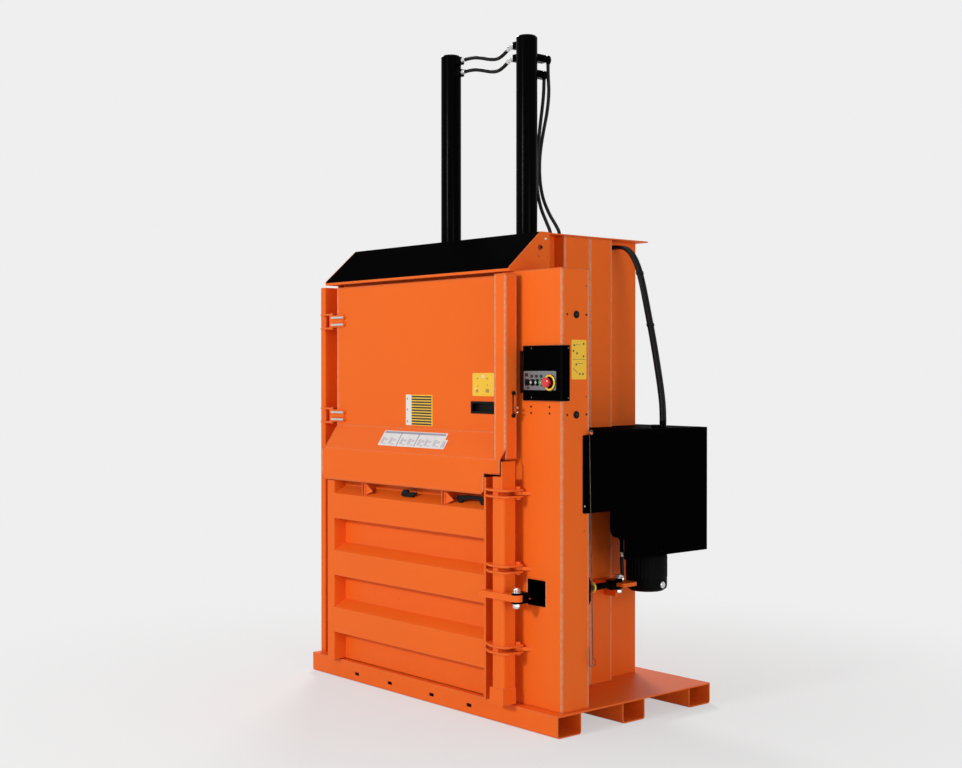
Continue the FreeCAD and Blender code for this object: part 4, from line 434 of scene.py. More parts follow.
class BALER_OT_finishes(bpy.types.Operator):
    """Make every finish and put it on the frame's own pieces"""
    bl_idname = "baler.finishes"
    bl_label = "Finishes"

    def execute(self, context):
        colours = context.scene.baler_colours
        GROUPS.update(fold_edges=fold_highlight_group(), coat_skin=skin_group(), drawn_lines=drawn_group())
        paint, deep, edge = (tuple(colour) for colour in (colours.paint, colours.paint_deep, colours.paint_fold_highlight))
        black, yellow = tuple(colours.black), tuple(colours.yellow)
        painted = dict(specular=0.14, bump=0.05)
        # the third colour of each finish is the highlight painted along its folds and edges, on the black, steel and
        # plastic finishes too
        coat("orange_paint", paint, deep, edge, 0.45, radius=0.0022, sharpness=1.6, **painted)
        # wide pale painted highlight, kept mostly on the vertical folds
        coat("orange_fold_highlights", paint, deep, edge, 0.45, radius=0.014, sharpness=9.0, level_edges=0.1, **painted)
        coat("black_cover", black, black, (0.02, 0.018, 0.02), 0.55, sharpness=2.0, specular=0.0006, bump=0.04)
        coat("black_gloss", black, black, (0.03, 0.028, 0.03), 0.18, radius=0.0015, sharpness=1.5, specular=0.012,
             bump=0.02)
        coat("black_plastic", (0.003, 0.003, 0.0034), (0.002, 0.002, 0.0023), (0.03, 0.03, 0.033), 0.5,
             radius=0.001, specular=0.12, grain=1500, bump=0.1)
        coat("panel_black", black, black, (0.2, 0.19, 0.19), 0.5, radius=0.004, sharpness=4.0, specular=0.002,
             bump=0.04)
        metal = dict(radius=0.0008, metallic=1.0)
        coat("bright_steel", (0.72, 0.71, 0.7), (0.5, 0.5, 0.5), (0.95, 0.95, 0.95), 0.28, lines=(400, 400, 60),
             bump=0.15, **metal)
        coat("drawn_wire", (0.15, 0.14, 0.135), (0.09, 0.085, 0.08), (0.4, 0.4, 0.4), 0.38, lines=(400, 400, 60),
             bump=0.15, **metal)
        coat("hard_chrome", (0.8, 0.8, 0.82), (0.7, 0.7, 0.72), (0.9, 0.9, 0.9), 0.12, lines=(60, 60, 1200), **metal)
        coat("tank_grey", (0.06, 0.065, 0.07), (0.04, 0.045, 0.05), (0.2, 0.2, 0.2), 0.5, bump=0.08)
        coat("cast_metal", (0.0018, 0.0018, 0.002), (0.0014, 0.0014, 0.0016), (0.012, 0.012, 0.012), 0.6, grain=350,
             bump=0.4, specular=0.05)
        coat("hose_rubber", (0.006, 0.006, 0.007), (0.003, 0.003, 0.004), (0.02, 0.02, 0.02), 0.42, grain=2200,
             bump=0.25, specular=0.15)
        caps = (
            ("red_plastic", (0.72, 0.012, 0.02), (0.6, 0.008, 0.015), (0.95, 0.2, 0.2), 0.22, 0.4),
            ("green_plastic", (0.03, 0.3, 0.06), (0.02, 0.24, 0.05), (0.3, 0.7, 0.3), 0.25, 0.3),
            ("white_plastic", (0.7, 0.7, 0.68), (0.6, 0.6, 0.58), (0.9, 0.9, 0.9), 0.3, 0.3),
            ("blue_plastic", (0.02, 0.06, 0.35), (0.02, 0.05, 0.3), (0.3, 0.4, 0.8), 0.25, 0.3),
            ("yellow_plastic", yellow, tuple(0.92 * part for part in yellow), (0.98, 0.75, 0.2), 0.35, 0.0),
        )
        for *cap, gloss in caps:
            coat(*cap, radius=0.001, coat_weight=gloss)
        films = (
            ("yellow_film", yellow, tuple(0.95 * part for part in yellow), (0.98, 0.75, 0.2), 0.45),
            ("white_film", (0.78, 0.78, 0.76), (0.7, 0.7, 0.68), (0.9, 0.9, 0.9), 0.4),
            ("dark_film", (0.012, 0.012, 0.012), (0.008, 0.008, 0.008), (0.05, 0.05, 0.05), 0.45),
            ("ochre_film", (0.42, 0.27, 0.05), (0.36, 0.22, 0.04), (0.6, 0.4, 0.1), 0.45),
            ("lilac_film", (0.36, 0.34, 0.42), (0.31, 0.29, 0.36), (0.5, 0.5, 0.5), 0.45),
            ("pale_lilac_film", (0.56, 0.54, 0.6), (0.5, 0.48, 0.54), (0.7, 0.7, 0.7), 0.45),
        )
        for film in films:
            coat(*film, radius=0.0005, bump=0.01)
        coat("grey_plate", (0.2, 0.21, 0.225), (0.17, 0.18, 0.19), (0.4, 0.4, 0.42), 0.4, radius=0.0008, metallic=0.4,
             lines=(30, 30, 1500), bump=0.06)
        labels = {name: "orange_fold_highlights" if name in FOLD_HIGHLIGHT_NODES else "orange_paint" for name in ORANGE_NODES}
        for name, label in (labels | OTHER_NODES).items():
            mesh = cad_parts[name].data
            mesh.materials.clear()
            mesh.materials.append(FINISHES[label])
        return {"FINISHED"}


# ---------------------------------------------------------------- hoses
POWER_ROUTE = [
    (520, 2036), (565, 2036), (612, 2012), (652, 1955), (682, 1870), (714, 1745), (746, 1618), (774, 1490),
    (797, 1370), (804, 1300), (804, 1262),
]
CROSS_ROUTE = [(-279, 2987), (-222, 2987), (-160.1, 2974), (-102.2, 2957), (-52.2, 2949), (-8.3, 2958), (25.7, 2978)]
CROSS_DROP = 58
HOSES = {
    "power_hose_front": (0.877, [(x, 690.5, z) for x, z in POWER_ROUTE]),
    "power_hose_rear": (0.877, [(x, 709.5, z) for x, z in POWER_ROUTE]),
    "cross_hose_upper": (0.314, [(x, 490, z) for x, z in CROSS_ROUTE]),
    "cross_hose_lower": (0.314, [(x, 490, z - CROSS_DROP) for x, z in CROSS_ROUTE]),
    "return_hose_outer": (0.873, [
        (196, 588, 2899), (196, 588, 2845), (204, 587.4, 2770), (193, 586.7, 2680), (165, 586.1, 2585),
        (143, 586.4, 2490), (139, 586.8, 2390), (158, 586.2, 2290), (206, 585.5, 2205), (252, 584.9, 2150),
        (280, 584.2, 2110), (280, 584.2, 2070)]),
    "return_hose_inner": (0.777, [
        (196, 562, 2824.2), (196, 562, 2775.2), (187, 560.8, 2700.2), (172, 559.6, 2610.1), (160, 558.3, 2515.1),
        (153, 557.1, 2420.1), (155, 555.9, 2325.1), (180, 554.7, 2235.1), (222, 555.5, 2160), (250, 556.2, 2112),
        (250, 556.2, 2070)]),
}


class BALER_OT_hoses(bpy.types.Operator):
    """Lay the six free hoses as smooth curves between their fittings"""
    bl_idname = "baler.hoses"
    bl_label = "Hoses"

    def execute(self, context):
        sizes = context.scene.baler_hoses
        for name, (length, points) in HOSES.items():
            thick = {"power": sizes.power, "cross": sizes.cross, "return": sizes.back}[name.split("_")[0]]
            curve = bpy.data.curves.new(f"hose_{name}", "CURVE")
            curve.dimensions = "3D"
            curve.bevel_depth = thick / 2
            curve.bevel_resolution = 6
            curve.resolution_u = 12
            curve.use_fill_caps = True
            spline = curve.splines.new("NURBS")
            spline.points.add(len(points) - 1)
            for spot, point in zip(spline.points, points):
                spot.co = (*at(*point), 1)
            spline.order_u = 3
            spline.use_endpoint_u = True
            hose = bpy.data.objects.new(f"smooth_{name}", curve)
            context.scene.collection.objects.link(hose)
            curve.materials.append(FINISHES["hose_rubber"])
            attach(hose, "frame")
            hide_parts(name)
        return {"FINISHED"}


def crimp(bm, start, end, radius):
    """A crimped sleeve from the hose's end to its port, with a hexagon nut at the port."""
    span = (end - start).length * 1000
    nut = min(12.0, span * 0.45)
    sleeve = span - nut
    ring = sleeve / 6
    profile = [(0, 0), (radius * 0.9, 0)]
    for number in range(6):
        profile += [(radius * 0.99, ring * (number + 0.2)), (radius * 0.99, ring * (number + 0.7)),
                    (radius * 0.9, ring * (number + 0.85))]
    profile += [(radius * 0.8, sleeve), (0, sleeve)]
    lathe(bm, profile, start, end - start, 28)
    direction = (end - start).normalized()
    hexagon(bm, start + direction * (sleeve / 1000), direction, radius * 2, nut)


class BALER_OT_fittings(bpy.types.Operator):
    """Crimped sleeves, nuts and elbows at the ends of the hoses"""
    bl_idname = "baler.fittings"
    bl_label = "Hose fittings"

    def execute(self, context):
        bm = bmesh.new()
        for z in (2987, 2929):
            crimp(bm, at(-279, 490, z), at(-308, 490, z), 12)
            bent_tube(bm, at(25.7, 490, z - 9), at(41, 490, z), at(78, 490, z), 0.0095, 0.02)
            hexagon(bm, at(27, 490, z - 8.2), at(41, 490, z) - at(25.7, 490, z - 9), 22, 9)
            hexagon(bm, at(46, 490, z), "X", 24, 13)
            lathe(bm, [(0, 0), (11, 0), (11.6, 1), (11.6, 15), (11, 16), (0, 16)], at(62, 490, z), "X", 28)
        crimp(bm, at(664, 588, 664), at(664, 588, 684), 10)
        crimp(bm, at(667, 588, 581.5), at(667, 588, 559.5), 10)
        finish("hose_end_fittings", bm, "frame", "bright_steel", stands_for=("hose_fittings",))

        bm = bmesh.new()
        for depth in (690.5, 709.5):
            crimp(bm, at(520, depth, 2036), at(492, depth, 2036), 9)
            crimp(bm, at(804, depth, 1262), at(804, depth, 1230), 9)
        for depth, top, bottom in ((588, 2929, 2899), (562, 2854.2, 2824.2)):
            bent_tube(bm, at(196, depth, bottom), at(196, depth, top), at(174, depth, top), 0.009, 0.011)
            hexagon(bm, at(196, depth, bottom + 2), "Z", 20, 9)
            hexagon(bm, at(175, depth, top), "X", 20, 8)
        finish("hose_end_covers", bm, "frame", "black_gloss")
        return {"FINISHED"}


# ---------------------------------------------------------------- controls
class BALER_OT_controls(bpy.types.Operator):
    """Stop button, push buttons, selector, plate and screws of the control panel, and the latches beside it"""
    bl_idname = "baler.controls"
    bl_label = "Controls"

    def execute(self, context):
        face = PANEL_FACE
        bm = bmesh.new()
        rounded_plate(bm, at(628, face, 1400), 191, 78, 0.9, 5, "-Y")
        finish("button_plate", bm, "frame", "grey_plate")

        bm = bmesh.new()
        lathe(bm, [(21, 0), (33, 0), (33.5, 1), (33.5, 5.5), (31, 7.2), (26, 7.4), (24, 5.8), (21, 5.4), (21, 0)],
              at(785, face, BUTTON_ROW), "-Y", 48)
        finish("stop_ring", bm, "frame", "yellow_plastic")
        bm = bmesh.new()
        lathe(bm, [(0, -1), (11, -1), (11, 13), (13.5, 14), (14.5, 16), (18.5, 17.5), (20, 20), (20, 28), (19, 31),
                   (15.5, 33.4), (8, 34), (0, 34)], at(785, face, BUTTON_ROW), "-Y", 48)
        finish("stop_knob", bm, "e_stop", "red_plastic", stands_for=("e_stop_button",))

        bm = bmesh.new()
        for x in (681, 709.5, 738):
            lathe(bm, [(12.2, 0.9), (14.2, 0.9), (14.4, 2.4), (13.4, 3.2), (12.4, 3.0), (12.2, 0.9)],
                  at(x, face, BUTTON_ROW), "-Y", 36)
        lathe(bm, [(11.2, 0.9), (14, 0.9), (14.4, 2.4), (13.2, 3.4), (11.4, 3.2), (11.2, 0.9)],
              at(652, face, BUTTON_ROW), "-Y", 36)
        finish("button_bezels", bm, "frame", "black_plastic")

        caps = (("start_button", 681, "black_plastic"), ("hold_button", 709.5, "black_plastic"),
                ("raise_button", 738, "green_plastic"))
        for name, x, colour in caps:
            bm = bmesh.new()
            lathe(bm, [(0, 0), (11.8, 0), (11.8, 9.5), (11, 11.4), (9.2, 12), (8.4, 11.2), (4, 10.8), (0, 10.7)],
                  at(x, face, BUTTON_ROW), "-Y", 36)
            finish(f"{name}_cap", bm, name, colour, stands_for=(name,))
            bm = bmesh.new()
            if name == "raise_button":
                lathe(bm, [(0, 0), (3, 0), (3, 0.6), (0, 0.6)], at(x, face - 10.6, BUTTON_ROW), "-Y", 24)
            else:
                slab(bm, at(x - 5.5, face - 11.4, 1428), at(x + 5.5, face - 10.6, 1434), 0.3)
                slab(bm, at(x - 2, face - 11.4, 1424), at(x + 2, face - 10.6, 1438), 0.3)
            finish(f"{name}_mark", bm, name, "white_film")

        bm = bmesh.new()
        lathe(bm, [(0, 0), (10.8, 0), (10.8, 6.4), (9.8, 8), (0, 8)], at(652, face, BUTTON_ROW), "-Y", 36)
        slab(bm, at(649.2, face - 16, 1422), at(654.8, face - 7, 1440), 1.4)
        finish("selector_knob", bm, "key_selector", "black_plastic", stands_for=("key_selector",))

        bm = bmesh.new()
        for x, z, width, height in ((634, 1455, 20, 14), (634, 1416, 8, 34), (646, 1404, 16, 8), (668, 1451, 17, 12),
                                    (696, 1451, 17, 12), (724, 1451, 17, 12), (634, 1404, 6, 6)):
            rounded_plate(bm, at(x, face - 0.9, z), width, height, 0.3, 1.5, "-Y")
        finish("button_plate_marks", bm, "frame", "dark_film")

        bm = bmesh.new()
        for z in (1571, 1369):
            dome(bm, at(674, face, z), "-Y", 3.6, 2.0)
            dome(bm, at(850, 76, z), "X", 3.6, 1.8)
        finish("panel_screws", bm, "frame", "drawn_wire")

        bm = bmesh.new()
        for level in (1293.5, 1386.7):
            lathe(bm, [(0, 0), (4, 0), (4, 2), (8.6, 3.4), (9.4, 6), (8.6, 9), (5, 10.4), (0, 10.6)],
                  at(602.5, -3, level), "X", 28)
        slab(bm, at(602.5, -5, 1293), at(606, -1, 1387), 0.8)
        finish("latch_knobs", bm, "feed_door", "black_plastic", stands_for=("feed_latches",))
        bm = bmesh.new()
        for level in (1306.6, 1326):
            lathe(bm, [(0, 0), (4.6, 0), (4.6, 14), (5.6, 14.6), (5.6, 18.6), (4.8, 19.6), (0, 19.8)],
                  at(603, 8, level), "X", 24)
        finish("latch_pins", bm, "feed_door", "bright_steel")

        bm = bmesh.new()
        slab(bm, at(600, 40, 1386), at(612, 45, 1562), 1.2)
        finish("panel_side_strip", bm, "frame", "black_plastic")
        return {"FINISHED"}


# ---------------------------------------------------------------- colour fields
class BALER_OT_fields(bpy.types.Operator):
    """Thin colour fields on the feed door and the column, with plain bars in place of print"""
    bl_idname = "baler.fields"
    bl_label = "Colour fields"

    def execute(self, context):
        door = DOOR_FACE
        mark = door - FILM
        bm = bmesh.new()
        rounded_plate(bm, at(309, door, 1371), 140, 99, FILM, 6, "-Y")
        rounded_plate(bm, at(-120, door, 1232), 154, 139, FILM, 3, "-Y")
        finish("door_yellow_fields", bm, "feed_door", "yellow_film")
        bm = bmesh.new()
        for number in range(11):
            rounded_plate(bm, at(-114, mark, 1235 + 12.4 * number), 142, 7.2, 0.4, 0.8, "-Y")
        finish("door_field_bars", bm, "feed_door", "dark_film")
        bm = bmesh.new()
        for x, z, width, height in ((336, 1443, 12, 6), (400, 1443, 12, 6), (341, 1412, 7, 6), (403, 1415, 7, 6),
                                    (332, 1386, 14, 13), (395, 1386, 22, 15)):
            rounded_plate(bm, at(x, mark, z), width, height, PRINT, 2, "-Y")
        for z in (1348, 1299, 1245):
            rounded_plate(bm, at(-150, mark, z), 8, 9, PRINT, 2, "-Y")
        finish("door_field_marks", bm, "feed_door", "ochre_film")
        bm = bmesh.new()
        for x, z, radius in ((377.6, 1455, 6.5), (328, 1402, 4)):
            lathe(bm, [(0, 0), (radius, 0), (radius, 0.4), (0, 0.4)], at(x, mark, z), "-Y", 20)
        finish("door_field_dots", bm, "feed_door", "white_film")
        bm = bmesh.new()
        rounded_plate(bm, at(-158, door, 1232), 38, 139, FILM, 3, "-Y")
        finish("door_white_field", bm, "feed_door", "white_film")

        bm = bmesh.new()
        rounded_plate(bm, at(COLUMN_SIDE, 97, 1444), 85, 161, FILM, 5, "X")
        finish("column_yellow_field", bm, "frame", "yellow_film")
        bm = bmesh.new()
        side = COLUMN_SIDE + FILM
        for depth, z, width in ((102, 1525, 74), (120, 1584, 26), (132, 1508, 30)):
            rounded_plate(bm, at(side, depth, z), width, 1.4, PRINT, 0.5, "X")
        for depth, z in ((162, 1585), (104, 1556), (162, 1534), (140, 1462), (158, 1462)):
            rounded_plate(bm, at(side, depth, z), 8, 8, PRINT, 2, "X")
        for depth, z in ((112, 1583), (124, 1505), (128, 1550)):
            bmesh.ops.create_cone(bm, cap_ends=True, segments=3, radius1=0.007, radius2=0.007, depth=0.0004,
                                  matrix=Matrix.Translation(at(side + 0.2, depth, z)) @ turned_to("X"))
        leaning = Matrix.Translation(at(side + 0.2, 118, 1480)) @ Matrix.Rotation(math.radians(-38), 4, "X")
        bmesh.ops.create_cube(bm, size=1, matrix=leaning @ Matrix.Diagonal((0.0004, 0.03, 0.002, 1)))
        finish("column_field_shapes", bm, "frame", "dark_film")

        # the apron's slope: its middle, and fields set in metres across and up it
        slope = Matrix.Translation(at(-54, -4.1, 1170)) @ Matrix.Rotation(-math.atan2(75, 110), 4, "X")
        bm = bmesh.new()
        rounded_plate(bm, (-0.243, -0.0004, -0.0405), 457, 81, FILM, 4, "-Y")
        rounded_plate(bm, (0.208, -0.0004, -0.0405), 26, 48, FILM, 2, "-Y")
        bmesh.ops.transform(bm, matrix=slope, verts=bm.verts)
        finish("slope_white_field", bm, "feed_door", "white_film")
        bm = bmesh.new()
        rounded_plate(bm, (-0.236, -0.001, 0.026), 442, 11, PRINT, 2, "-Y")
        for left in (-0.110, 0.018):
            rounded_plate(bm, (left, -0.001, -0.037), 7, 72, PRINT, 0.5, "-Y")
        bmesh.ops.transform(bm, matrix=slope, verts=bm.verts)
        finish("slope_grey_bars", bm, "feed_door", "lilac_film")
        bm = bmesh.new()
        for left in (-0.232, -0.172, -0.092, -0.036, 0.036, 0.086, 0.146):
            rounded_plate(bm, (left, -0.001, -0.030), 20, 34, PRINT, 6, "-Y")
            rounded_plate(bm, (left + 0.024, -0.001, -0.014), 18, 12, PRINT, 4, "-Y")
            rounded_plate(bm, (left + 0.024, -0.001, -0.033), 18, 7, PRINT, 2, "-Y")
        for left in (-0.178, -0.042, 0.078, 0.138):
            rounded_plate(bm, (left, -0.001, -0.036), 1.6, 58, PRINT, 0.5, "-Y")
        rounded_plate(bm, (0.206, -0.001, -0.032), 22, 30, PRINT, 3, "-Y")
        bmesh.ops.transform(bm, matrix=slope, verts=bm.verts)
        finish("slope_grey_shapes", bm, "feed_door", "pale_lilac_film")
        return {"FINISHED"}


# ---------------------------------------------------------------- bale door dressing
class BALER_OT_bale_door(bpy.types.Operator):
    """Weld studs of the bale door and the nuts on its arm's pin"""
    bl_idname = "baler.bale_door"
    bl_label = "Bale door details"

    def execute(self, context):
        bm = bmesh.new()
        for level in (749, 429):
            for x in (-395, -209, 64, 250):
                stud = dome(bm, (0, 0, 0), "-Y", 4.2, 2.4)
                place = Matrix.Translation(at(x, 28, level)) @ Matrix.Diagonal((2, 1, 1, 1))
                bmesh.ops.transform(bm, matrix=place, verts=stud)
        finish("weld_studs", bm, "bale_door", "orange_paint")

        bm = bmesh.new()
        for side, axis in ((1, "Z"), (-1, "-Z")):
            origin = at(RAM_X, -57, RAM_LEVEL + side * 21.8)
            hexagon(bm, origin, axis, 31, 15, washer=2.5)
            lathe(bm, [(0, 0), (8, 0), (8, 3), (6.5, 4), (0, 4)], origin + Vector((0, 0, side * 0.0175)), axis, 20)
        finish("arm_pin_nuts", bm, "ram_rod", "bright_steel")
        return {"FINISHED"}


# ---------------------------------------------------------------- locks, screws and plugs
class BALER_OT_fasteners(bpy.types.Operator):
    """Locks, screws, plugs and bolts on the column, the gable and the power unit's cover"""
    bl_idname = "baler.fasteners"
    bl_label = "Fasteners"

    def execute(self, context):
        for place, level in zip(("upper", "lower"), LOCK_LEVELS):
            name, body = f"cover_lock_{place}", f"{place}_lock"
            bm = bmesh.new()
            lathe(bm, [(0, -14), (9, -14), (9, 0.3), (15.5, 0.3), (15.5, 2.6), (14.2, 4.2), (11, 4.4), (10, 3.0),
                       (8.6, 2.6), (8.2, 4.6), (7, 5.3), (0, 5.3)],
                  at(COLUMN_SIDE, 124, level), "X", 40)
            finish(f"{name}_body", bm, body, "black_plastic", stands_for=(name,))
            bm = bmesh.new()
            slab(bm, at(851, 118, level - 1.4), at(852, 130, level + 1.4), 0.3)
            finish(f"{name}_slot", bm, body, "dark_film")

        bm = bmesh.new()
        for level in LOCK_LEVELS:
            for depth in (73, 183):
                dome(bm, at(COLUMN_SIDE, depth, level), "X", 5, 1.6)
        for z in (1826, 1372):
            dome(bm, at(COLUMN_SIDE, 182, z), "X", 3.2, 1.0)
        for x in (662, 772):
            for z in (1331, 1305):
                dome(bm, at(x, 45, z), "-Y", 5, 1.6)
        finish("column_plugs", bm, "frame", "black_plastic")

        bm = bmesh.new()
        for depth, z in ((170, 1200), (930, 1214), (930, 700), (640, 1214), (640, 700)):
            dome(bm, at(COVER_SIDE, depth, z), "X", 5, 2.0)
        finish("cover_screws", bm, "frame", "black_gloss")

        bm = bmesh.new()
        for z in (821, 1075):
            lathe(bm, [(0, 0), (2.6, 0), (2.4, 0.5), (0, 0.6)], at(COLUMN_SIDE, 170, z), "X", 14)
        finish("column_small_plugs", bm, "frame", "black_plastic")
        # painted shade: a black disc in the gable's hole stands in for the shade inside it
        bm = bmesh.new()
        lathe(bm, [(0, 0), (7, 0), (7, 0.6), (0, 0.8)], at(555, 205, 2006), "X", 20)
        finish("gable_hole_shade", bm, "frame", "black_plastic")
        bm = bmesh.new()
        hexagon(bm, at(555, 229, 2043), "X", 9, 3, washer=1.2)
        finish("gable_bolt", bm, "frame", "bright_steel")
        bm = bmesh.new()
        dome(bm, at(COVER_SIDE, 171, 924), "X", 3.4, 1.4)
        finish("flange_bolt", bm, "frame", "bright_steel")
        return {"FINISHED"}


# ---------------------------------------------------------------- power unit
COVER_SHEETS = (
    ((555, 200, 1227), (848, 944, 1230)), ((340, 862, 1227), (556, 944, 1230)), ((492, 640, 1227), (556, 863, 1230)),
    ((555, 200, 894), (848, 203, 1229)), ((555, 200, 894), (848, 322, 897)), ((340, 941, 684), (848, 944, 1229)),
    ((340, 862, 684), (343, 944, 1229)), ((625, 640, 684), (848, 944, 687)), ((340, 862, 684), (626, 944, 687)),
)
COVER_SIDE_OUTLINE = [(200, 894), (322, 894), (322, 780), (408, 780), (408, 684), (944, 684), (944, 1230), (200, 1230)]
COVER_FLAP_OUTLINE = [(161, 894), (203, 894), (203, 1216), (161, 1216)]
# a black plate inside the cover that stands in for the shade on the chamber wall behind its open lower front
COVER_SHADE_PLATE_OUTLINE = [(494, 905), (494, 784), (560, 784), (600, 762), (622, 735), (640, 688), (847, 688), (847, 905)]
GUARD_OUTLINE = [(771, 505), (826, 505), (841, 531), (841, 612), (826, 638), (771, 638)]


class BALER_OT_power_unit(bpy.types.Operator):
    """Cover with its open lower front and a black inner plate as painted shade, tank, the door ram's pipe, the guard's
    flange and the threading rod
    """
    bl_idname = "baler.power_unit"
    bl_label = "Power unit"

    def execute(self, context):
        bm = bmesh.new()
        cut_plate(bm, GUARD_OUTLINE, 4, across_depth(215), (1, 2, 3, 4), 3)
        finish("guard_flange", bm, "frame", "black_cover")

        bm = bmesh.new()
        # the rod's run and its hook as (start, corner, end) in depth and height, and the bend
        for *run, bend in (((197, 1216), (197, 1234), (190.5, 1234), 6), ((190.5, 1234), (184, 1234), (206, 300), 6),
                           ((206, 300), (206.2, 267.5), (196, 267.5), 9), ((196, 267.5), (186, 267.5), (184, 345), 9)):
            bent_tube(bm, *(at(862, depth, z) for depth, z in run), 0.0019, bend / 1000)
        finish("threader_wire", bm, "frame", "drawn_wire", stands_for=("strap_threader",))

        bm = bmesh.new()
        # painted shade: the rounded lower front corner of this black side sheet follows the curved edge of a shadow on
        # the chamber wall behind
        cut_plate(bm, COVER_SIDE_OUTLINE, 3, across_x(COLUMN_SIDE), (2,), 46)
        cut_plate(bm, COVER_FLAP_OUTLINE, 3, across_x(COLUMN_SIDE), (0, 3), 8)
        for low, high in COVER_SHEETS:
            slab(bm, at(*low), at(*high), 0.8)
        # painted shade: this black inner plate stands where there is only shade on the chamber wall
        cut_plate(bm, COVER_SHADE_PLATE_OUTLINE, 3, across_depth(653))
        finish("power_cover_shell", bm, "frame", "black_cover", stands_for=("power_unit_cover",))
        bm = bmesh.new()
        slab(bm, at(741, 536, 687), at(835, 599, 1007), 6, 3)
        lathe(bm, [(0, 0), (16, 0), (18, 2), (18, 9), (15, 12), (0, 12)], at(788, 568, 1007), "Z", 28)
        finish("tank_body", bm, "frame", "tank_grey", stands_for=("oil_tank",))
        bm = bmesh.new()
        lathe(bm, [(0, 0), (8.5, 0), (8.5, 62), (0, 62)], at(664, 588, 680), "Z", 24)
        slab(bm, at(653, 577, 738), at(675, 599, 760), 3, 3)
        lathe(bm, [(0, 0), (8.5, 0), (8.5, 54), (0, 54)], at(664, 597, 749), "Y", 24)
        finish("door_ram_line", bm, "frame", "black_gloss")
        return {"FINISHED"}


# ---------------------------------------------------------------- motor and ram
class BALER_OT_motor(bpy.types.Operator):
    """Finned motor under the power unit and the details of the door's ram"""
    bl_idname = "baler.motor"
    bl_label = "Motor and ram"

    def execute(self, context):
        bm = bmesh.new()
        lathe(bm, [(0, 0), (82, 0), (82, -10), (88, -14), (90.5, -18), (90.5, -150), (88, -162), (72, -173.5),
                   (0, -173.5)], at(*MOTOR_TOP), "Z", 64)
        for number in range(36):
            fin = slab(bm, (0.088, -0.0014, -0.112), (0.0915, 0.0014, -0.022), 0.5, 1)
            turn = Matrix.Rotation(math.tau * number / 36, 4, "Z")
            bmesh.ops.transform(bm, matrix=Matrix.Translation(at(*MOTOR_TOP)) @ turn, verts=fin)
        finish("motor_body", bm, "frame", "cast_metal", stands_for=("pump_motor",))
        bm = bmesh.new()
        lathe(bm, [(0, 0), (15, 0), (15, 4), (12, 7), (8, 7), (6.5, 5), (0, 5)], at(789, 713, 541), (1, 0.03, 0), 28)
        finish("motor_plug", bm, "frame", "bright_steel")

        bm = bmesh.new()
        lathe(bm, [(12.8, 0), (22, 0), (23.5, 2), (23.5, 8), (21, 11), (12.8, 11), (12.8, 0)],
              at(RAM_X, 376, RAM_LEVEL), "Y", 40)
        finish("ram_yellow_ring", bm, "ram_barrel", "yellow_plastic")
        bm = bmesh.new()
        for side, axis in ((1, "Z"), (-1, "-Z")):
            hexagon(bm, at(RAM_X, 545, RAM_LEVEL + side * 24.5), axis, 30, 12, washer=3)
        finish("rear_pin_nuts", bm, "ram_barrel", "bright_steel")
        return {"FINISHED"}


# ---------------------------------------------------------------- stage
PALE = (0.86, 0.86, 0.86)


def seen_directly(tree):
    """1 where the camera, a mirror-like surface or glass looks at the backdrop."""
    path = node(tree, "LightPath")
    total = path.outputs["Is Camera Ray"]
    for label in ("Is Glossy Ray", "Is Transmission Ray"):
        total = node(tree, "Math", total, path.outputs[label], operation="MAXIMUM").outputs[0]
    return total


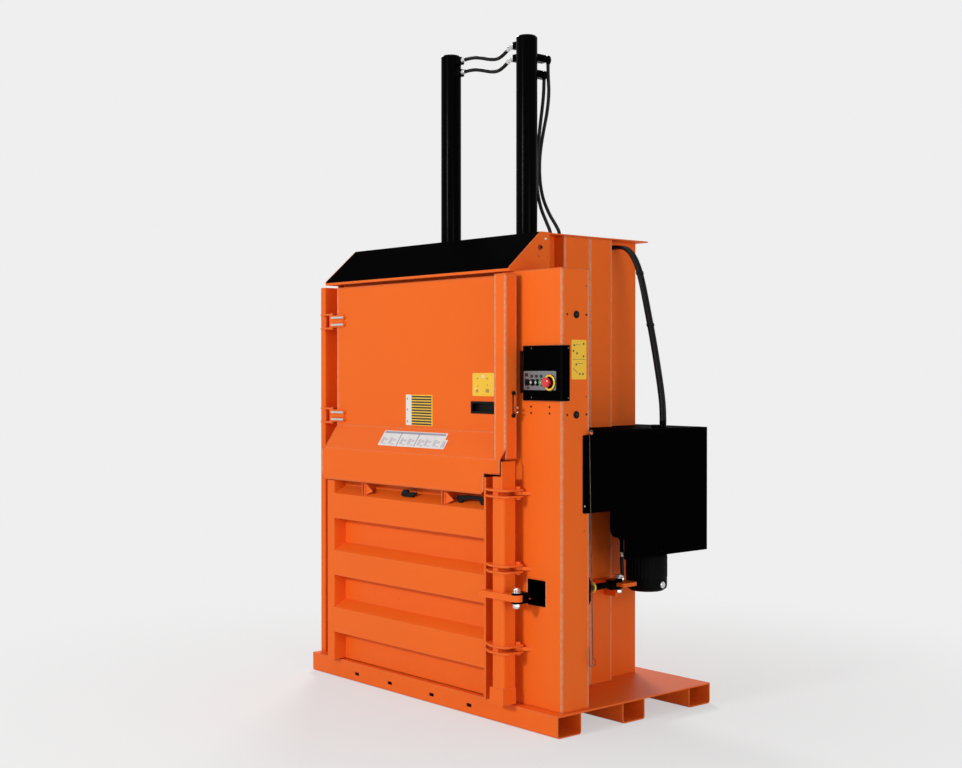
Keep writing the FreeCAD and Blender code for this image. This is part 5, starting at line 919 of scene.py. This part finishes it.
class BALER_OT_stage(bpy.types.Operator):
    """Pale floor and backdrop, soft lamps and the camera"""
    bl_idname = "baler.stage"
    bl_label = "Stage"

    def execute(self, context):
        settings = context.scene.baler_stage
        bm = bmesh.new()
        bmesh.ops.create_grid(bm, x_segments=1, y_segments=1, size=30)
        mesh = bpy.data.meshes.new("hall_floor")
        bm.to_mesh(mesh)
        bm.free()
        floor = bpy.data.objects.new("hall_floor", mesh)
        context.scene.collection.objects.link(floor)
        material = bpy.data.materials.new("pale_floor")
        material.use_nodes = True
        tree = material.node_tree
        shader = tree.nodes["Principled BSDF"]
        shader.inputs["Base Color"].default_value = (0.8, 0.8, 0.8, 1)
        shader.inputs["Roughness"].default_value = 0.9
        pale = node(tree, "Emission", (*PALE, 1))
        place = node(tree, "TexCoord").outputs["Object"]
        away = node(tree, "VectorMath", place, operation="LENGTH").outputs["Value"]
        # the floor's own shading fades into the flat backdrop away from the machine
        near = node(tree, "MapRange", away, 0.9, 3.2, 0.45, 0.0, interpolation_type="SMOOTHSTEP")
        shown = node(tree, "MixShader", near.outputs[0], pale.outputs[0], shader.outputs[0])
        both = node(tree, "MixShader", seen_directly(tree), shader.outputs[0], shown.outputs[0])
        wire(tree, both.outputs[0], tree.nodes["Material Output"].inputs["Surface"])
        mesh.materials.append(material)

        world = bpy.data.worlds.new("studio")
        context.scene.world = world
        world.use_nodes = True
        tree = world.node_tree
        lit = tree.nodes["Background"]
        lit.inputs["Color"].default_value = (1, 1, 1, 1)
        lit.inputs["Strength"].default_value = 0.34
        seen = node(tree, "Background", (*PALE, 1), 1.0)
        mix = node(tree, "MixShader", seen_directly(tree), lit.outputs[0], seen.outputs[0])
        wire(tree, mix.outputs[0], tree.nodes["World Output"].inputs["Surface"])

        lamps = (
            ("key", (0.35, -7.6, 3.5), (0.2, 0, 1.3), 0.9, 275),
            ("fill", (7.0, -1.8, 1.9), (0.4, 0.1, 1.2), 2.6, 125),
            ("rear", (-4.6, 3.4, 5.2), (0.5, 0.3, 0.4), 1.6, 240),
            ("top", (0.4, -1.5, 6.5), (0.3, 0, 1.0), 3.0, 28),
        )
        for name, place, target, size, power in lamps:
            lamp = bpy.data.lights.new(name, "AREA")
            lamp.shape = "SQUARE"
            lamp.size = size
            lamp.energy = power
            stand = bpy.data.objects.new(name, lamp)
            stand.location = place
            stand.rotation_mode = "QUATERNION"
            stand.rotation_quaternion = (Vector(target) - Vector(place)).to_track_quat("-Z", "Y")
            context.scene.collection.objects.link(stand)

        camera = bpy.data.cameras.new("viewpoint")
        camera.lens = settings.lens
        camera.sensor_width = 36
        camera.clip_end = 100
        eye = bpy.data.objects.new("viewpoint", camera)
        eye.location = settings.eye
        eye.rotation_mode = "XYZ"
        eye.rotation_euler = (math.pi / 2 + settings.pitch, 0, settings.yaw)
        context.scene.collection.objects.link(eye)
        context.scene.camera = eye
        context.scene.view_settings.view_transform = "Standard"
        return {"FINISHED"}


# ---------------------------------------------------------------- panel and start
STEPS = (
    BALER_OT_finishes, BALER_OT_stage, BALER_OT_hoses, BALER_OT_fittings, BALER_OT_controls, BALER_OT_fields,
    BALER_OT_bale_door, BALER_OT_fasteners, BALER_OT_power_unit, BALER_OT_motor,
)
SETTINGS = (("baler_colours", BalerColours), ("baler_hoses", BalerHoses), ("baler_stage", BalerStage))


class BALER_PT_sidebar(bpy.types.Panel):
    bl_idname = "BALER_PT_sidebar"
    bl_label = "Recycling baler"
    bl_space_type = "VIEW_3D"
    bl_region_type = "UI"
    bl_category = "Baler"

    def draw(self, context):
        for name, group in SETTINGS:
            settings = getattr(context.scene, name)
            box = self.layout.box()
            for field in group.__annotations__:
                box.prop(settings, field)
        for step in STEPS:
            self.layout.operator(step.bl_idname)


def register():
    for name, group in SETTINGS:
        bpy.utils.register_class(group)
        setattr(bpy.types.Scene, name, bpy.props.PointerProperty(type=group))
    for step in (*STEPS, BALER_PT_sidebar):
        bpy.utils.register_class(step)


def unregister():
    for step in (BALER_PT_sidebar, *reversed(STEPS)):
        bpy.utils.unregister_class(step)
    for name, group in reversed(SETTINGS):
        delattr(bpy.types.Scene, name)
        bpy.utils.unregister_class(group)


def main():
    register()
    for step in STEPS:
        category, name = step.bl_idname.split(".")
        getattr(getattr(bpy.ops, category), name)()
    bpy.context.view_layer.update()


if __name__ == "__main__":
    main()
